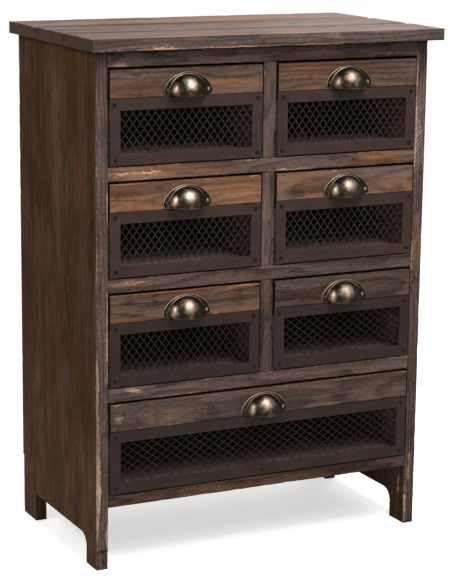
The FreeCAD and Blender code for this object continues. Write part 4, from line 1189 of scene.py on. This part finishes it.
def floor_material():
    """Matt white studio floor that the camera sees as white, with the shadow on it."""
    material, tree, shader = new_material("floor_matt_white")
    plug(tree, shader, {"Base Color": rgba(linear("#e9e7e4")), "Roughness": 0.95,
                        "Specular IOR Level": 0.0})
    place = add(tree, "ShaderNodeTexCoord").outputs["Object"]
    away = add(tree, VECTOR, (place,), operation="LENGTH").outputs["Value"]
    lift = add(tree, RANGE, (away, 0.5, 2.2, 0.6, 0.85), **SMOOTH)
    lift = add(tree, MATH, (seen_directly(tree), lift), operation="MULTIPLY")
    white = add(tree, "ShaderNodeEmission", {"Color": (1, 1, 1, 1), "Strength": lift})
    both = add(tree, "ShaderNodeAddShader", (shader, white))
    plug(tree, tree.nodes["Material Output"], {"Surface": both})
    return material


# Soft boxes: their place and their width in metres. They all point at the middle of the chest
LAMPS = {
    "key": ((0.16, -1.02, 2.08), 1.0),
    "front": ((0.0, -1.7, 1.85), 0.8),
    "side": ((-1.7, -0.2, 1.65), 0.6),
    "rear": ((1.5, 1.5, 1.5), 1.2),
}
CHEST_MIDDLE = Vector((0, -0.1, 0.5))


class CHEST_OT_stage(bpy.types.Operator):
    """Set the camera, the lamps, the floor and the white surroundings"""
    bl_idname = "chest.stage"
    bl_label = "Stage"

    def execute(self, context):
        scene = context.scene
        stage = scene.chest_stage
        data = bpy.data.cameras.new("photo_camera")
        data.lens = stage.lens
        camera = bpy.data.objects.new("photo_camera", data)
        camera.matrix_world = (Matrix.Translation(stage.camera) @ Matrix.Rotation(-stage.yaw, 4, "Z")
                               @ Matrix.Rotation(math.pi / 2 - stage.pitch, 4, "X")
                               @ Matrix.Rotation(stage.roll, 4, "Z"))
        scene.collection.objects.link(camera)
        scene.camera = camera
        scene.view_settings.view_transform = "Standard"

        for name, (place, width) in LAMPS.items():
            data = bpy.data.lights.new(name + "_soft_box", "AREA")
            data.energy = getattr(stage, name)
            data.size = width
            lamp = bpy.data.objects.new(name + "_soft_box", data)
            lamp.location = place
            lamp.rotation_mode = "QUATERNION"
            lamp.rotation_quaternion = (CHEST_MIDDLE - Vector(place)).to_track_quat("-Z", "Y")
            scene.collection.objects.link(lamp)

        world = bpy.data.worlds.new("white_room")
        world.use_nodes = True
        tree = world.node_tree
        tree.nodes.clear()
        strength = add(tree, RANGE, (seen_directly(tree), 0.0, 1.0, stage.room, 1.0))
        background = add(tree, "ShaderNodeBackground", {"Color": (1, 1, 1, 1), "Strength": strength})
        add(tree, "ShaderNodeOutputWorld", {"Surface": background})
        scene.world = world

        reach = 8.0
        mesh = bpy.data.meshes.new("floor")
        mesh.from_pydata([(-reach, -reach, 0), (reach, -reach, 0), (reach, reach, 0), (-reach, reach, 0)],
                         [], [(0, 1, 2, 3)])
        mesh.materials.append(floor_material())
        floor = bpy.data.objects.new("floor", mesh)
        scene.collection.objects.link(floor)
        return {"FINISHED"}


class CHEST_PT_panel(bpy.types.Panel):
    """Buttons for every piece of the chest, and its settings"""
    bl_label = "Chest of drawers"
    bl_idname = "CHEST_PT_panel"
    bl_space_type = "VIEW_3D"
    bl_region_type = "UI"
    bl_category = "Chest"

    def draw(self, context):
        for operator in OPERATORS:
            self.layout.operator(operator.bl_idname)
        for name, group in GROUPS.items():
            box = self.layout.box()
            for key in group.__annotations__:
                box.prop(getattr(context.scene, name), key)


GROUPS = {
    "chest_wood": ChestWood,
    "chest_metal": ChestMetal,
    "chest_sizes": ChestSizes,
    "chest_stage": ChestStage,
}
OPERATORS = [CHEST_OT_stage, CHEST_OT_top, CHEST_OT_sides, CHEST_OT_face, CHEST_OT_inside, CHEST_OT_fronts,
             CHEST_OT_boxes, CHEST_OT_frames, CHEST_OT_meshes, CHEST_OT_pulls, CHEST_OT_fasteners]
CLASSES = [*GROUPS.values(), *OPERATORS, CHEST_PT_panel]


def register():
    """Add the classes and the settings to the scene."""
    for item in CLASSES:
        bpy.utils.register_class(item)
    for name, group in GROUPS.items():
        setattr(bpy.types.Scene, name, PointerProperty(type=group))


def unregister():
    """Take the settings and the classes away again."""
    for name in GROUPS:
        delattr(bpy.types.Scene, name)
    for item in reversed(CLASSES):
        bpy.utils.unregister_class(item)


def main():
    """Build every piece in order."""
    register()
    for operator in OPERATORS:
        getattr(bpy.ops.chest, operator.bl_idname.split(".")[1])()


if __name__ == "__main__":
    main()
